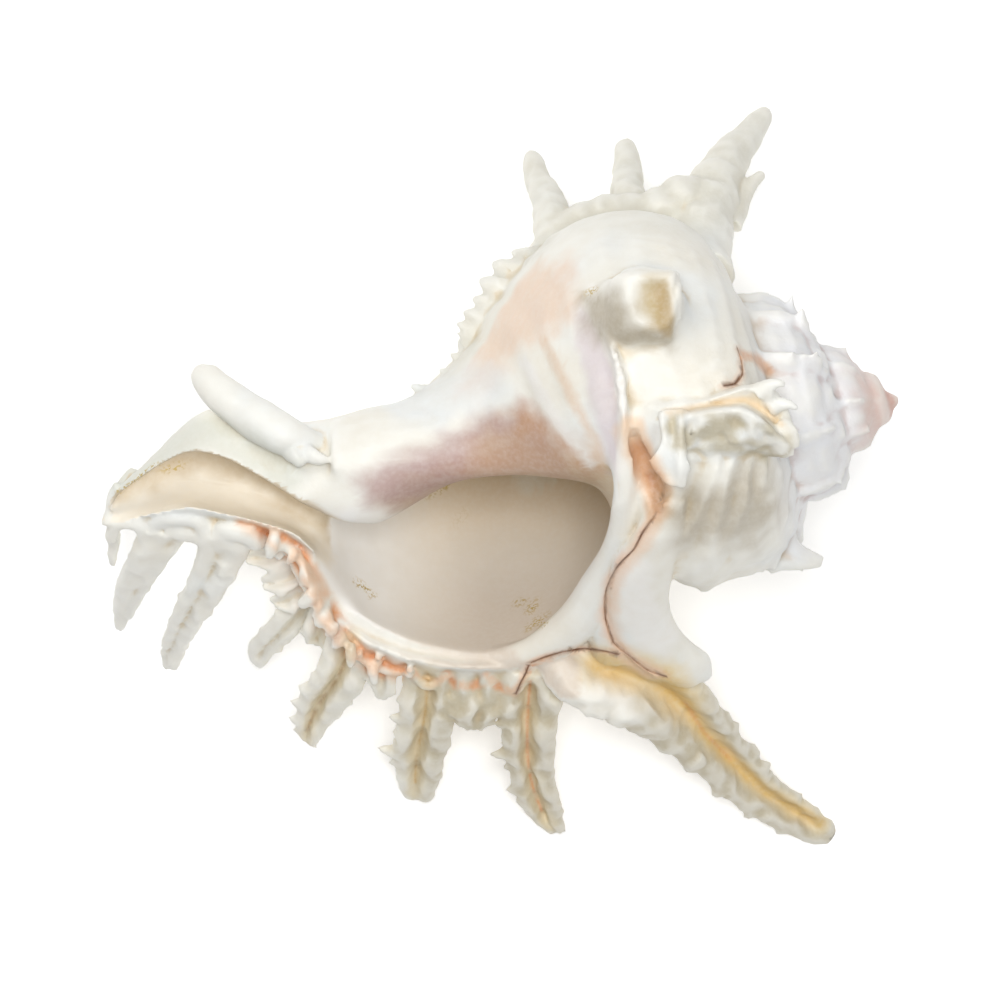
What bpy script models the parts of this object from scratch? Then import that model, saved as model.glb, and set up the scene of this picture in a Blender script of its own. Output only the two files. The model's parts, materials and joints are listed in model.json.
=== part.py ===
"""Spiny murex shell, lying on its back with the opening upwards.

The spire points to +X, the siphonal canal to -X, the lip and its fronds to -Y,
and the opening to +Z. It rests on the worn tips of two fronds and one spine.
Lengths are in millimetres up to the last step, which makes them metres.
"""
import math

import bmesh
import bpy
import numpy as np
from mathutils import Vector
from mathutils.bvhtree import BVHTree

MM = 0.001

# The coiling axis lies level. Turns are in degrees: the opening is cut up to turn 0, and they fall to
# the apex. The lip ends at LIP_TURN, and a turn of 90 points straight up.
APEX = np.array([93.6, 17.2, 57.0])
AXIS = np.array([-0.992, -0.1266, 0.0])
SIDE = np.array([-0.1266, 0.992, 0.0])
UP = np.array([0.0, 0.0, 1.0])
GROWTH_ALONG = 1.74
GROWTH_OUT = 1.84
LIP_TURN = -18.0
HALF_TURN = -180.0
FIRST_TURN = -1500.0
TURN_STEP = 12.0
LATE_CHANGE = 1.6

# Half sections, distance along the axis and out from it: the whorl's outside and the hollow inside it,
# half a turn before the lip and at the lip. Each runs from the shoulder to the base.
WHORL = np.array([
    (37.0, 28.0), (40.0, 37.0), (44.0, 44.5), (50.0, 48.5), (57.0, 50.3), (64.0, 50.6), (71.0, 49.2),
    (77.5, 45.5), (84.0, 39.5), (90.5, 32.5), (96.5, 24.0), (104.0, 17.5), (113.0, 14.0)])
WHORL_AT_LIP = np.array([
    (57.0, 22.0), (58.5, 31.0), (62.0, 39.5), (69.5, 46.0), (79.0, 50.5), (89.0, 53.0), (99.0, 53.5),
    (110.0, 52.0), (121.0, 48.5), (129.5, 43.5), (137.5, 35.5), (143.0, 25.5), (148.0, 14.0)])
HOLLOW = np.array([
    (43.5, 27.0), (46.0, 34.5), (49.5, 41.0), (55.0, 44.8), (62.0, 46.4), (68.0, 45.4), (74.0, 41.8),
    (80.0, 36.0), (86.0, 29.5), (91.5, 22.5), (95.5, 17.5), (99.0, 14.5), (102.0, 12.5)])
HOLLOW_AT_LIP = np.array([
    (66.5, 17.0), (68.5, 23.0), (72.0, 30.0), (77.5, 37.0), (84.0, 43.0), (92.0, 46.8), (100.5, 48.4),
    (109.0, 47.0), (119.0, 43.0), (127.0, 38.0), (132.5, 32.5), (136.0, 25.0), (138.0, 17.0)])
# Pillar side of the hollow, from the base back to the shoulder.
PILLAR = np.array([
    (100.0, 11.0), (93.0, 9.5), (86.0, 8.0), (79.0, 7.0), (72.0, 7.0), (64.0, 8.0), (56.0, 11.0),
    (48.0, 17.0)])
PILLAR_AT_LIP = np.array([
    (136.0, 13.0), (124.0, 13.0), (112.0, 8.4), (104.0, 5.2), (96.0, 3.6), (88.0, 4.0), (80.0, 6.2),
    (72.5, 11.0)])
OPENING_DEPTH = 175.0
OPENING_FRONT = 95.0
OPENING_FLARE = 0.9
OPENING_FLARE_WITHIN = 0.25
OPENING_STEP = 9.0
CALLUS_TOP = 31.0
CALLUS_SLOPE = 0.42
CALLUS_CURVE = 3.5
CALLUS_LEAST = 2.0

# Canal, from the whorl to its end: x, top edge y, bottom edge y, middle z, half height.
CANAL = [
    (-20.0, 17.0, -34.0, 55.0, 15.0), (-32.0, 14.5, -29.0, 54.0, 14.0), (-43.0, 12.0, -17.0, 53.0, 12.5),
    (-54.0, 12.5, -12.2, 52.0, 11.5), (-66.0, 14.6, -10.0, 51.0, 10.5), (-74.5, 8.7, -9.2, 50.0, 9.0),
    (-81.0, 2.6, -9.8, 49.0, 7.5), (-87.0, -3.0, -11.0, 48.0, 5.5), (-90.0, -7.6, -12.2, 47.2, 3.2)]
# Channel in the canal: x, thin rim y, lip side y, floor z, rim z.
CHANNEL = [
    (-26.0, -17.0, -26.0, 45.0, 61.0), (-34.0, -13.0, -25.0, 44.0, 61.0), (-40.0, -9.6, -20.0, 43.5, 60.5),
    (-46.0, -5.5, -14.0, 43.5, 60.0),
    (-56.0, 0.6, -10.6, 43.5, 59.0), (-63.0, 4.0, -9.0, 43.5, 58.5), (-70.0, 5.0, -7.6, 43.5, 57.0),
    (-76.0, 2.6, -8.6, 43.8, 55.0), (-82.0, -1.2, -10.0, 44.0, 52.5), (-88.0, -5.4, -11.4, 45.0, 50.0),
    (-94.0, -9.6, -12.6, 46.0, 49.0)]
UNDERCUT = 5.0
CHANNEL_TOP = 80.0

# Former canal, a blunt finger beside the new one: x, y, z, radius.
OLD_CANAL = [
    (-67.0, 23.6, 53.0, 1.8), (-66.0, 22.0, 54.0, 3.3), (-63.5, 19.0, 55.5, 4.0), (-59.0, 15.3, 57.5, 4.4),
    (-53.5, 11.6, 59.5, 4.7), (-48.0, 8.4, 60.5, 4.9), (-41.0, 5.0, 59.5, 4.6)]

# Spines of the varix behind: x, y, z, radius.
SPINE_LOW = [
    (13.5, 49.0, 36.0, 6.0), (12.4, 57.0, 30.0, 4.9), (10.4, 64.0, 22.0, 3.9), (8.8, 70.0, 14.5, 3.2),
    (8.2, 72.9, 11.5, 1.7)]
SPINE_MIDDLE = [
    (31.0, 52.0, 36.0, 8.0), (30.8, 61.0, 28.0, 5.2), (30.2, 68.0, 20.0, 3.6), (29.6, 74.0, 13.0, 2.9),
    (29.4, 77.0, 10.5, 1.5)]
SPINE_HIGH = [
    (44.6, 46.0, 40.0, 10.5), (46.4, 55.0, 31.0, 9.4), (50.0, 64.0, 22.0, 7.6), (54.0, 72.0, 13.5, 6.0),
    (58.6, 79.4, 6.0, 4.1), (61.4, 83.8, 1.4, 2.8), (62.4, 85.6, -0.8, 1.8)]
SPINELET_HIGH = [(55.0, 62.0, 22.0, 4.0), (58.5, 67.5, 18.0, 2.4), (60.8, 70.6, 16.0, 1.0)]
# Blunt spine that points up beside the opening, and the small spines of the spire: x, y, z, radius.
SPINE_BLUNT = [
    (35.6, 32.0, 86.0, 8.0), (35.6, 35.0, 95.0, 7.0), (35.0, 38.6, 102.0, 5.8), (34.6, 40.6, 106.0, 4.0)]
SPINE_BLUNT_ROOT = [(36.0, 44.0, 86.0, 6.0), (35.6, 43.0, 94.0, 5.0), (35.0, 41.6, 101.0, 3.6)]
SPINE_SPIRE = [
    (58.0, -11.5, 57.0, 5.0), (63.5, -15.6, 56.0, 3.2), (68.0, -18.2, 55.5, 2.0), (72.6, -20.1, 55.0, 0.9)]

# Fronds of the lip. Each row is a left edge point x, y, a right edge point x, y, and their height z.
FRONDS = {
    "canal_leaf": [
        (-89.6, -9.0, -86.6, -9.0, 46.0), (-89.6, -14.5, -87.2, -15.0, 37.0),
        (-89.8, -21.0, -88.8, -21.4, 30.0)],
    "canal_first": [
        (-81.0, -7.0, -70.5, -8.0, 46.0), (-84.2, -16.5, -77.2, -19.5, 37.0),
        (-88.2, -25.0, -82.6, -27.6, 24.0), (-90.2, -32.3, -86.8, -34.4, 12.0),
        (-89.6, -35.8, -88.4, -36.2, 8.0)],
    "canal_second": [
        (-68.5, -7.0, -56.0, -10.5, 46.0), (-70.6, -20.5, -64.6, -27.0, 34.0),
        (-76.2, -32.0, -70.8, -36.0, 18.0), (-79.2, -41.0, -74.8, -43.4, 3.5),
        (-78.6, -45.4, -75.8, -46.2, -1.2)],
    "curled": [
        (-57.0, -9.0, -40.0, -19.0, 45.0), (-53.5, -26.0, -40.5, -33.0, 35.0),
        (-56.2, -35.0, -49.0, -40.0, 24.0), (-58.4, -40.6, -54.6, -44.0, 14.0),
        (-57.2, -45.0, -55.8, -45.6, 10.0)],
    "double": [
        (-37.0, -28.0, -24.0, -36.0, 43.0), (-41.4, -44.0, -31.4, -48.4, 32.0),
        (-46.2, -52.0, -37.2, -55.4, 20.0), (-47.4, -60.0, -42.6, -62.0, 9.0),
        (-44.4, -63.6, -43.2, -64.0, 6.0)],
    "double_side": [
        (-30.0, -40.0, -23.0, -42.0, 41.0), (-29.6, -47.6, -24.6, -49.6, 35.0),
        (-28.0, -51.6, -26.6, -51.8, 31.0)],
    "broad": [
        (-21.5, -38.0, -9.0, -41.5, 42.0), (-22.8, -54.0, -10.6, -57.0, 30.0),
        (-25.6, -64.6, -13.0, -67.0, 16.0), (-23.4, -73.0, -15.8, -75.2, 5.0),
        (-21.0, -76.0, -17.6, -76.4, 2.2)],
    "short": [
        (-11.0, -43.0, 0.0, -43.5, 40.0), (-10.2, -54.0, -0.4, -54.6, 34.0),
        (-7.4, -58.6, -4.2, -58.8, 29.0)],
    "long_thin": [
        (-1.0, -42.0, 17.5, -42.0, 42.0), (0.4, -58.0, 13.2, -57.0, 30.0),
        (1.2, -69.0, 12.6, -69.0, 17.0), (6.2, -79.0, 14.6, -79.4, 6.5),
        (12.4, -84.0, 15.4, -83.6, 3.0)],
    "shoulder": [
        (9.0, -38.0, 18.0, -31.0, 46.0), (14.0, -51.0, 32.5, -40.5, 44.0),
        (27.0, -56.8, 45.0, -46.0, 36.0), (41.6, -65.6, 54.0, -58.0, 23.0),
        (55.4, -77.0, 64.6, -71.0, 10.5), (70.4, -85.4, 77.0, -80.6, 1.6),
        (77.0, -87.0, 79.8, -84.8, -1.0)],
    "tongue": [
        (35.0, -6.0, 41.5, -7.0, 86.0), (30.6, -15.0, 42.0, -15.4, 78.0),
        (25.4, -23.8, 40.6, -24.0, 66.0), (24.4, -33.0, 39.4, -32.0, 55.0),
        (29.0, -42.0, 46.0, -41.5, 45.0), (38.0, -50.0, 49.5, -50.0, 38.0)]}

# Raised flange of the inner lip: x and y, laid on the whorl, and how far it stands up.
FLANGE = [
    (20.3, 41.0, 1.0), (20.8, 36.0, 2.2), (24.2, 29.0, 3.0), (26.6, 22.6, 3.4), (27.6, 15.0, 3.6),
    (27.8, 8.0, 3.6), (27.6, 1.0, 3.4)]
FLANGE_THICKNESS = 2.4
FLANGE_FOOT = 3.0
# Posterior end of the lip, from the flange down to the lip: x, y, z, radius.
LIP_END = [
    (27.4, 4.0, 95.0, 3.2), (27.2, -3.5, 88.0, 3.2), (28.4, -10.0, 79.0, 3.4), (27.0, -17.5, 68.0, 3.6),
    (23.6, -25.5, 57.0, 4.6), (18.5, -33.5, 49.0, 5.4), (8.0, -41.0, 44.0, 4.6)]
# Web that fills the corner between the tongue, the lip and the shoulder frond: x, y, z, radius.
LIP_WEB = [(27.0, -21.0, 61.0, 4.5), (24.5, -31.0, 50.0, 6.0), (23.5, -40.0, 42.0, 5.0)]
# Ragged open frond that stands over the whorl's shoulder: x, y, z, radius.
OPEN_FROND = [
    (33.0, 9.5, 96.0, 4.2), (41.0, 11.0, 98.5, 5.0), (50.0, 10.6, 98.0, 5.6), (58.0, 11.4, 95.0, 6.0),
    (63.5, 12.0, 92.5, 4.6)]
OPEN_FROND_TOOTH = [(35.6, 8.0, 98.5, 3.6), (37.4, 2.0, 99.5, 2.8), (38.8, -2.6, 99.0, 1.4)]

VARIX_SPACING = 120.0
VARIX_COUNT = 11
VARIX_HEIGHT = 0.085
# Section of a varix: turns ahead of its middle, share of its height, and how deep its foot sits.
VARIX_SECTION = [(-7.0, 0.0, 1.5), (-3.15, 1.0, 0.0), (2.45, 1.0, 0.0), (5.6, 0.0, 1.5), (0.0, 0.0, 3.0)]
VARIX_PLACES = (0.04, 0.8)
VARIX_END_SHARE = 0.45
VARIX_LOW_FROM = 0.5
VARIX_LOW_WITHIN = 0.12
VARIX_LOW_SHARE = 0.3
VARIX_OFFSET = 8.0
TALL_VARIX = 2.6
KNOB_HEIGHT = 0.15
KNOB_RADIUS = 0.09
KNOB_LEAN = 0.12
KNOB_TAPER = (1.2, 0.9, 0.35)
KNOBS = ((0.14, 1.0), (0.3, 0.6), (0.45, 0.45))
# Section of the lip's thick edge: turns from the lip, and how far it stands out from the whorl.
BAND_SECTION = [(-10.0, -1.0), (-7.0, 2.2), (0.5, 2.6), (1.5, -1.0), (-3.0, -3.5)]
BAND_PLACES = (0.1, 0.93)
TOOTH_COUNT = 9
TOOTH_PLACES = (0.55, 0.93)
TOOTH_HEIGHTS = (6.5, 2.5)
TOOTH_AHEAD = 5.0
TOOTH_RADIUS = 2.1
# Solid core: distance along the axis and radius. The whorls reach in to the small radius.
PILLAR_CORE = [(3.0, 1.4), (12.0, 3.6), (30.0, 8.0), (60.0, 12.0), (95.0, 12.0), (118.0, 13.0), (132.0, 12.0)]
CORE_RADIUS = 0.3

# Section of a frond, in shares of its width: sideways and up, with a gutter along the upper face.
FROND_SECTION = [
    (-0.5, 0.0), (-0.36, 0.17), (-0.16, 0.06), (0.0, -0.03), (0.16, 0.06), (0.36, 0.17),
    (0.5, 0.0), (0.34, -0.2), (0.0, -0.32), (-0.34, -0.2)]
# What smoothing takes off the width of a frond.
FROND_ALLOWANCE = 1.4

WHORL_POINTS = 20
AXIS_POINTS = 8
CANAL_SIDES = 16
RIB_POINTS = 16
BAND_POINTS = 22
ABOVE_ALL = 150.0

VOXEL = 1.1
CUT_VOXEL = 0.9
SMOOTH_REPEAT = 2
TARGET_TRIANGLES = 9400
SNAP = 0.0001
LEVEL_WITHIN = 0.15
SHELL_COLOUR = (0.86, 0.83, 0.76, 1.0)


def clear_scene():
    """Remove what the scene starts with."""
    for item in list(bpy.data.objects):
        bpy.data.objects.remove(item)


def section(turn, before, at_lip):
    """Half section at a turn. It grows as a spiral, and over the last half turn it eases to the lip's."""
    share = min(max((turn - HALF_TURN) / (LIP_TURN - HALF_TURN), 0.0), 1.0)
    share = (share * share * (3.0 - 2.0 * share)) ** LATE_CHANGE
    turns = (turn - HALF_TURN) / 360.0
    return before * (GROWTH_ALONG ** turns, GROWTH_OUT ** turns) * (1.0 - share) + at_lip * share


def size_at(turn):
    """Radius of the whorl at a turn."""
    return float(section(turn, WHORL, WHORL_AT_LIP)[:, 1].max())


def around(along, out, turn):
    """Point at a distance along the axis and out from it, in the half plane of a turn."""
    angle = math.radians(turn - 90.0)
    return APEX + along * AXIS + out * (math.sin(angle) * SIDE + math.cos(angle) * UP)


def whorl_point(turn, place, lift=0.0):
    """Point on the whorl's outside: place runs from the suture, 0, to the base, 1."""
    outline = section(turn, WHORL, WHORL_AT_LIP)
    steps = np.linspace(0.0, 1.0, len(outline))
    along = np.interp(place, steps, outline[:, 0])
    out = np.interp(place, steps, outline[:, 1])
    return around(along, out + lift, turn)


def add_object(name, mesh):
    """Put a mesh into the scene as an object."""
    item = bpy.data.objects.new(name, mesh)
    bpy.context.collection.objects.link(item)
    return item


def loft(name, rings):
    """Closed solid through rings of points, with a fan of faces over each end."""
    shape = bmesh.new()
    rows = [[shape.verts.new(Vector(point)) for point in ring] for ring in rings]
    count = len(rings[0])
    for near, far in zip(rows, rows[1:]):
        for index in range(count):
            following = (index + 1) % count
            shape.faces.new((near[index], near[following], far[following], far[index]))
    for row in (rows[0], rows[-1]):
        middle = sum((vert.co for vert in row), Vector()) / count
        centre = shape.verts.new(middle)
        for index in range(count):
            shape.faces.new((row[index], row[(index + 1) % count], centre))
    bmesh.ops.recalc_face_normals(shape, faces=shape.faces)
    mesh = bpy.data.meshes.new(name)
    shape.to_mesh(mesh)
    shape.free()
    return add_object(name, mesh)


def across(points, index):
    """Direction of a route at one of its points."""
    before = points[max(index - 1, 0)]
    after = points[min(index + 1, len(points) - 1)]
    direction = np.subtract(after, before)
    return direction / np.linalg.norm(direction)


def rod(name, route, sides=10):
    """Round tapering solid along a route of x, y, z and radius."""
    centres = [np.array(row[:3]) for row in route]
    rings = []
    for index, row in enumerate(route):
        direction = across(centres, index)
        first = np.cross(direction, UP if abs(direction[2]) < 0.9 else SIDE)
        first /= np.linalg.norm(first)
        second = np.cross(direction, first)
        ring = []
        for side in range(sides):
            angle = 2.0 * math.pi * side / sides
            ring.append(centres[index] + row[3] * (math.cos(angle) * first + math.sin(angle) * second))
        rings.append(ring)
    return loft(name, rings)


def frond(name, rows):
    """Flattened spine with a gutter along its upper face, through pairs of edge points."""
    middles = [np.array([(row[0] + row[2]) / 2.0, (row[1] + row[3]) / 2.0, row[4]]) for row in rows]
    rings = []
    for index, row in enumerate(rows):
        width = np.array([row[2] - row[0], row[3] - row[1], 0.0])
        width *= 1.0 + FROND_ALLOWANCE / np.linalg.norm(width)
        normal = np.cross(width, across(middles, index))
        normal *= np.linalg.norm(width) / np.linalg.norm(normal)
        normal *= 1.0 if normal[2] > 0.0 else -1.0
        rings.append([middles[index] + share * width + rise * normal for share, rise in FROND_SECTION])
    return loft(name, rings)


def whorls():
    """Coiled body: the half section swept from the apex to the lip."""
    rings = []
    turn = FIRST_TURN
    while turn <= LIP_TURN:
        ring = [whorl_point(turn, place) for place in np.linspace(0.0, 1.0, WHORL_POINTS)]
        outline = section(turn, WHORL, WHORL_AT_LIP)
        back = np.linspace(outline[-1, 0], outline[0, 0], AXIS_POINTS)
        ring += [around(along, CORE_RADIUS, turn) for along in back]
        rings.append(ring)
        turn += TURN_STEP
    return loft("whorls", rings)


def pillar():
    """Solid core round the axis, from the apex to the canal."""
    route = []
    for along, radius in PILLAR_CORE:
        route.append((*(APEX + along * AXIS), radius))
    return rod("pillar", route, 14)


def canal():
    """Outside of the siphonal canal, a half tube that narrows to its end."""
    rings = []
    for x, top, bottom, middle, half_height in CANAL:
        ring = []
        for side in range(CANAL_SIDES):
            angle = 2.0 * math.pi * side / CANAL_SIDES
            y = (top + bottom) / 2.0 + (top - bottom) / 2.0 * math.cos(angle)
            ring.append((x, y, middle + half_height * math.sin(angle)))
        rings.append(ring)
    return loft("canal", rings)


def varix(name, turn, height):
    """Thickened rib across the whorl, where the lip stood before. It is low on the canal side."""
    rings = []
    for place in np.linspace(*VARIX_PLACES, RIB_POINTS):
        rise = height * (VARIX_END_SHARE + (1.0 - VARIX_END_SHARE) * math.sin(math.pi * place) ** 0.5)
        low = min(max((place - VARIX_LOW_FROM) / VARIX_LOW_WITHIN, 0.0), 1.0)
        rise *= 1.0 - (1.0 - VARIX_LOW_SHARE) * low
        ring = [whorl_point(turn + ahead, place, rise * share - foot) for ahead, share, foot in VARIX_SECTION]
        rings.append(ring)
    return loft(name, rings)


def knob(name, turn, place, height, radius):
    """Short spine that stands on a varix."""
    foot = whorl_point(turn, place, -radius)
    tip = whorl_point(turn, place, height)
    lean = KNOB_LEAN * height * -AXIS
    middle = (foot + tip) / 2.0 + lean
    taper = [radius * share for share in KNOB_TAPER]
    route = [(*foot, taper[0]), (*middle, taper[1]), (*(tip + 2.0 * lean), taper[2])]
    return rod(name, route, 8)


def varices():
    """Varices of the earlier turns with their knobs."""
    items = []
    for number in range(1, VARIX_COUNT):
        turn = LIP_TURN - VARIX_OFFSET - VARIX_SPACING * number
        size = size_at(turn)
        height = VARIX_HEIGHT * size * (TALL_VARIX if number == 1 else 1.0)
        items.append(varix(f"varix_{number}", turn, height))
        if number > 2:
            for place, share in KNOBS:
                height = KNOB_HEIGHT * size * share
                items.append(knob(f"knob_{number}_{place}", turn, place, height, KNOB_RADIUS * size))
    return items


def flank_teeth():
    """Row of small scales down the varix behind, towards the canal."""
    items = []
    turn = LIP_TURN - VARIX_OFFSET - VARIX_SPACING
    for place in np.linspace(*TOOTH_PLACES, TOOTH_COUNT):
        share = (TOOTH_PLACES[1] - place) / (TOOTH_PLACES[1] - TOOTH_PLACES[0])
        height = TOOTH_HEIGHTS[1] + (TOOTH_HEIGHTS[0] - TOOTH_HEIGHTS[1]) * share
        items.append(knob(f"tooth_{place:.2f}", turn + TOOTH_AHEAD, place, height, TOOTH_RADIUS))
    return items


def lip_band():
    """Thick outer edge of the last whorl, which carries the fronds."""
    rings = []
    for place in np.linspace(*BAND_PLACES, BAND_POINTS):
        rings.append([whorl_point(LIP_TURN + ahead, place, lift) for ahead, lift in BAND_SECTION])
    return loft("lip_band", rings)


def opening():
    """Hollow of the last whorl, from deep inside out through the opening."""
    rings = []
    for turn in np.arange(LIP_TURN - OPENING_DEPTH, LIP_TURN + OPENING_FRONT + 1.0, OPENING_STEP):
        forward = max(turn - LIP_TURN, 0.0) / OPENING_FRONT
        flare = 1.0 + OPENING_FLARE * min(forward / OPENING_FLARE_WITHIN, 1.0)
        at = min(turn, LIP_TURN)
        ring = [around(along, out * flare, turn) for along, out in section(at, HOLLOW, HOLLOW_AT_LIP)]
        for along, out in section(at, PILLAR, PILLAR_AT_LIP):
            callus = max(CALLUS_TOP - CALLUS_SLOPE * (along - PILLAR_AT_LIP[-1, 0]), out + CALLUS_LEAST)
            ring.append(around(along, out + (callus - out) * forward ** CALLUS_CURVE, turn))
        rings.append(ring)
    return loft("opening", rings)


def channel():
    """Hollow of the canal, open upwards between its thin rim and the lip."""
    rings = []
    for x, rim, lip, floor, rim_height in CHANNEL:
        middle = (rim + lip) / 2.0
        under = min(UNDERCUT, 0.4 * (rim - lip))
        side = floor + 0.45 * (rim_height - floor)
        rings.append([
            (x, rim, CHANNEL_TOP), (x, rim, rim_height), (x, rim + under, side + 1.0),
            (x, rim + 0.6 * under, floor + 1.5), (x, middle + 0.3 * under, floor),
            (x, middle - 0.25 * (rim - lip), floor + 1.0), (x, lip + 1.0, side),
            (x, lip, rim_height), (x, lip, CHANNEL_TOP)])
    return loft("channel", rings)


def flange(ground):
    """Thin raised edge of the inner lip, laid on the whorl."""
    route = [np.array((x, y, 0.0)) for x, y, rise in FLANGE]
    rings = []
    for index, (x, y, rise) in enumerate(FLANGE):
        hit = ground.ray_cast(Vector((x, y, ABOVE_ALL)), Vector((0.0, 0.0, -1.0)))[0]
        direction = across(route, index)
        sideways = np.array((direction[1], -direction[0], 0.0)) * FLANGE_THICKNESS / 2.0
        foot = np.array(hit) - FLANGE_FOOT * UP
        top = np.array(hit) + rise * UP
        rings.append([foot - sideways, foot + sideways, top + 0.7 * sideways, top - 0.7 * sideways])
    return loft("flange", rings)


def use(item):
    """Make one object the selected and active one."""
    bpy.ops.object.select_all(action="DESELECT")
    item.select_set(True)
    bpy.context.view_layer.objects.active = item


def fuse(items, name, voxel):
    """Grow overlapping solids together into one closed skin."""
    bpy.ops.object.select_all(action="DESELECT")
    for item in items:
        item.select_set(True)
    bpy.context.view_layer.objects.active = items[0]
    bpy.ops.object.join()
    whole = bpy.context.view_layer.objects.active
    whole.name = name
    remesh = whole.modifiers.new("remesh", "REMESH")
    remesh.mode = "VOXEL"
    remesh.voxel_size = voxel
    bpy.ops.object.modifier_apply(modifier=remesh.name)
    return whole


def cut(item, cutter):
    """Take one solid out of another and remove it."""
    use(item)
    boolean = item.modifiers.new("cut", "BOOLEAN")
    boolean.operation = "DIFFERENCE"
    boolean.object = cutter
    bpy.ops.object.modifier_apply(modifier=boolean.name)
    bpy.data.objects.remove(cutter)


def soften(item):
    """Smooth the steps of the fused skin a little."""
    use(item)
    smooth = item.modifiers.new("smooth", "SMOOTH")
    smooth.factor = 0.5
    smooth.iterations = SMOOTH_REPEAT
    bpy.ops.object.modifier_apply(modifier=smooth.name)


def wear_tips_flat(item):
    """Cut the tips that touch the ground level with it, and close the cuts."""
    shape = bmesh.new()
    shape.from_mesh(item.data)
    geometry = shape.verts[:] + shape.edges[:] + shape.faces[:]
    result = bmesh.ops.bisect_plane(
        shape, geom=geometry, dist=SNAP, clear_outer=True,
        plane_co=(0.0, 0.0, 0.0), plane_no=(0.0, 0.0, -1.0))
    rim = [edge for edge in result["geom_cut"] if isinstance(edge, bmesh.types.BMEdge)]
    bmesh.ops.holes_fill(shape, edges=rim)
    bmesh.ops.triangulate(shape, faces=shape.faces)
    shape.to_mesh(item.data)
    shape.free()


def thin(item):
    """Bring the skin down to the triangles that it may have, and level the worn tips again."""
    use(item)
    item.data.calc_loop_triangles()
    decimate = item.modifiers.new("decimate", "DECIMATE")
    decimate.ratio = TARGET_TRIANGLES / len(item.data.loop_triangles)
    decimate.use_collapse_triangulate = True
    bpy.ops.object.modifier_apply(modifier=decimate.name)
    for vert in item.data.vertices:
        if vert.co.z < LEVEL_WITHIN:
            vert.co.z = 0.0


def keep_largest(item):
    """Drop crumbs that came off thin edges."""
    shape = bmesh.new()
    shape.from_mesh(item.data)
    unseen = set(shape.verts)
    groups = []
    while unseen:
        queue = [unseen.pop()]
        group = list(queue)
        while queue:
            for edge in queue.pop().link_edges:
                for vert in edge.verts:
                    if vert in unseen:
                        unseen.remove(vert)
                        queue.append(vert)
                        group.append(vert)
        groups.append(group)
    groups.sort(key=len)
    for group in groups[:-1]:
        bmesh.ops.delete(shape, geom=group, context="VERTS")
    shape.to_mesh(item.data)
    shape.free()


def stand_on_origin(item):
    """Bring the middle of the shell's box over the origin, and millimetres to metres."""
    places = np.array([vert.co for vert in item.data.vertices])
    middle = (places.min(axis=0) + places.max(axis=0)) / 2.0
    shift = Vector((-middle[0], -middle[1], 0.0))
    for vert in item.data.vertices:
        vert.co = (vert.co + shift) * MM


def shell_material():
    """White shell with a satin surface."""
    material = bpy.data.materials.new("white_shell")
    material.use_nodes = True
    surface = material.node_tree.nodes["Principled BSDF"]
    surface.inputs["Base Color"].default_value = SHELL_COLOUR
    surface.inputs["Roughness"].default_value = 0.42
    surface.inputs["Metallic"].default_value = 0.0
    return material


def build_shell():
    """The whole shell as one solid."""
    body = fuse([whorls(), pillar(), canal(), lip_band()] + varices(), "shell", VOXEL)
    cut(body, opening())
    cut(body, channel())
    ground = BVHTree.FromObject(body, bpy.context.evaluated_depsgraph_get())
    parts = [body, flange(ground), rod("old_canal", OLD_CANAL, 12)]
    spines = {
        "lip_end": LIP_END, "lip_web": LIP_WEB, "low": SPINE_LOW, "middle": SPINE_MIDDLE, "high": SPINE_HIGH,
        "high_spinelet": SPINELET_HIGH, "blunt": SPINE_BLUNT, "blunt_root": SPINE_BLUNT_ROOT,
        "spire": SPINE_SPIRE, "open_frond": OPEN_FROND, "open_tooth": OPEN_FROND_TOOTH}
    parts += [rod(name, route) for name, route in spines.items()]
    parts += [frond(name, rows) for name, rows in FRONDS.items()]
    parts += flank_teeth()
    shell = fuse(parts, "shell", CUT_VOXEL)
    soften(shell)
    wear_tips_flat(shell)
    keep_largest(shell)
    thin(shell)
    stand_on_origin(shell)
    shell.data.materials.clear()
    shell.data.materials.append(shell_material())
    shell.data.shade_smooth()
    shell.data.set_sharp_from_angle(angle=math.radians(50.0))
    return shell


def main():
    """Build the model in an empty scene."""
    clear_scene()
    build_shell()


main()
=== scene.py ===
# %% [markdown]
# # A spiny murex shell
# The real object is one piece of lime, laid down by an animal that turns as it grows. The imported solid
# has the right size and the main forms, but its skin is coarse. This script grows the shell again with
# much the same measures, adds what is too fine for the solid, and paints it.

import json
import math

import bmesh
import bpy
import numpy as np
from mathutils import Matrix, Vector, noise
from mathutils.bvhtree import BVHTree

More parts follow.
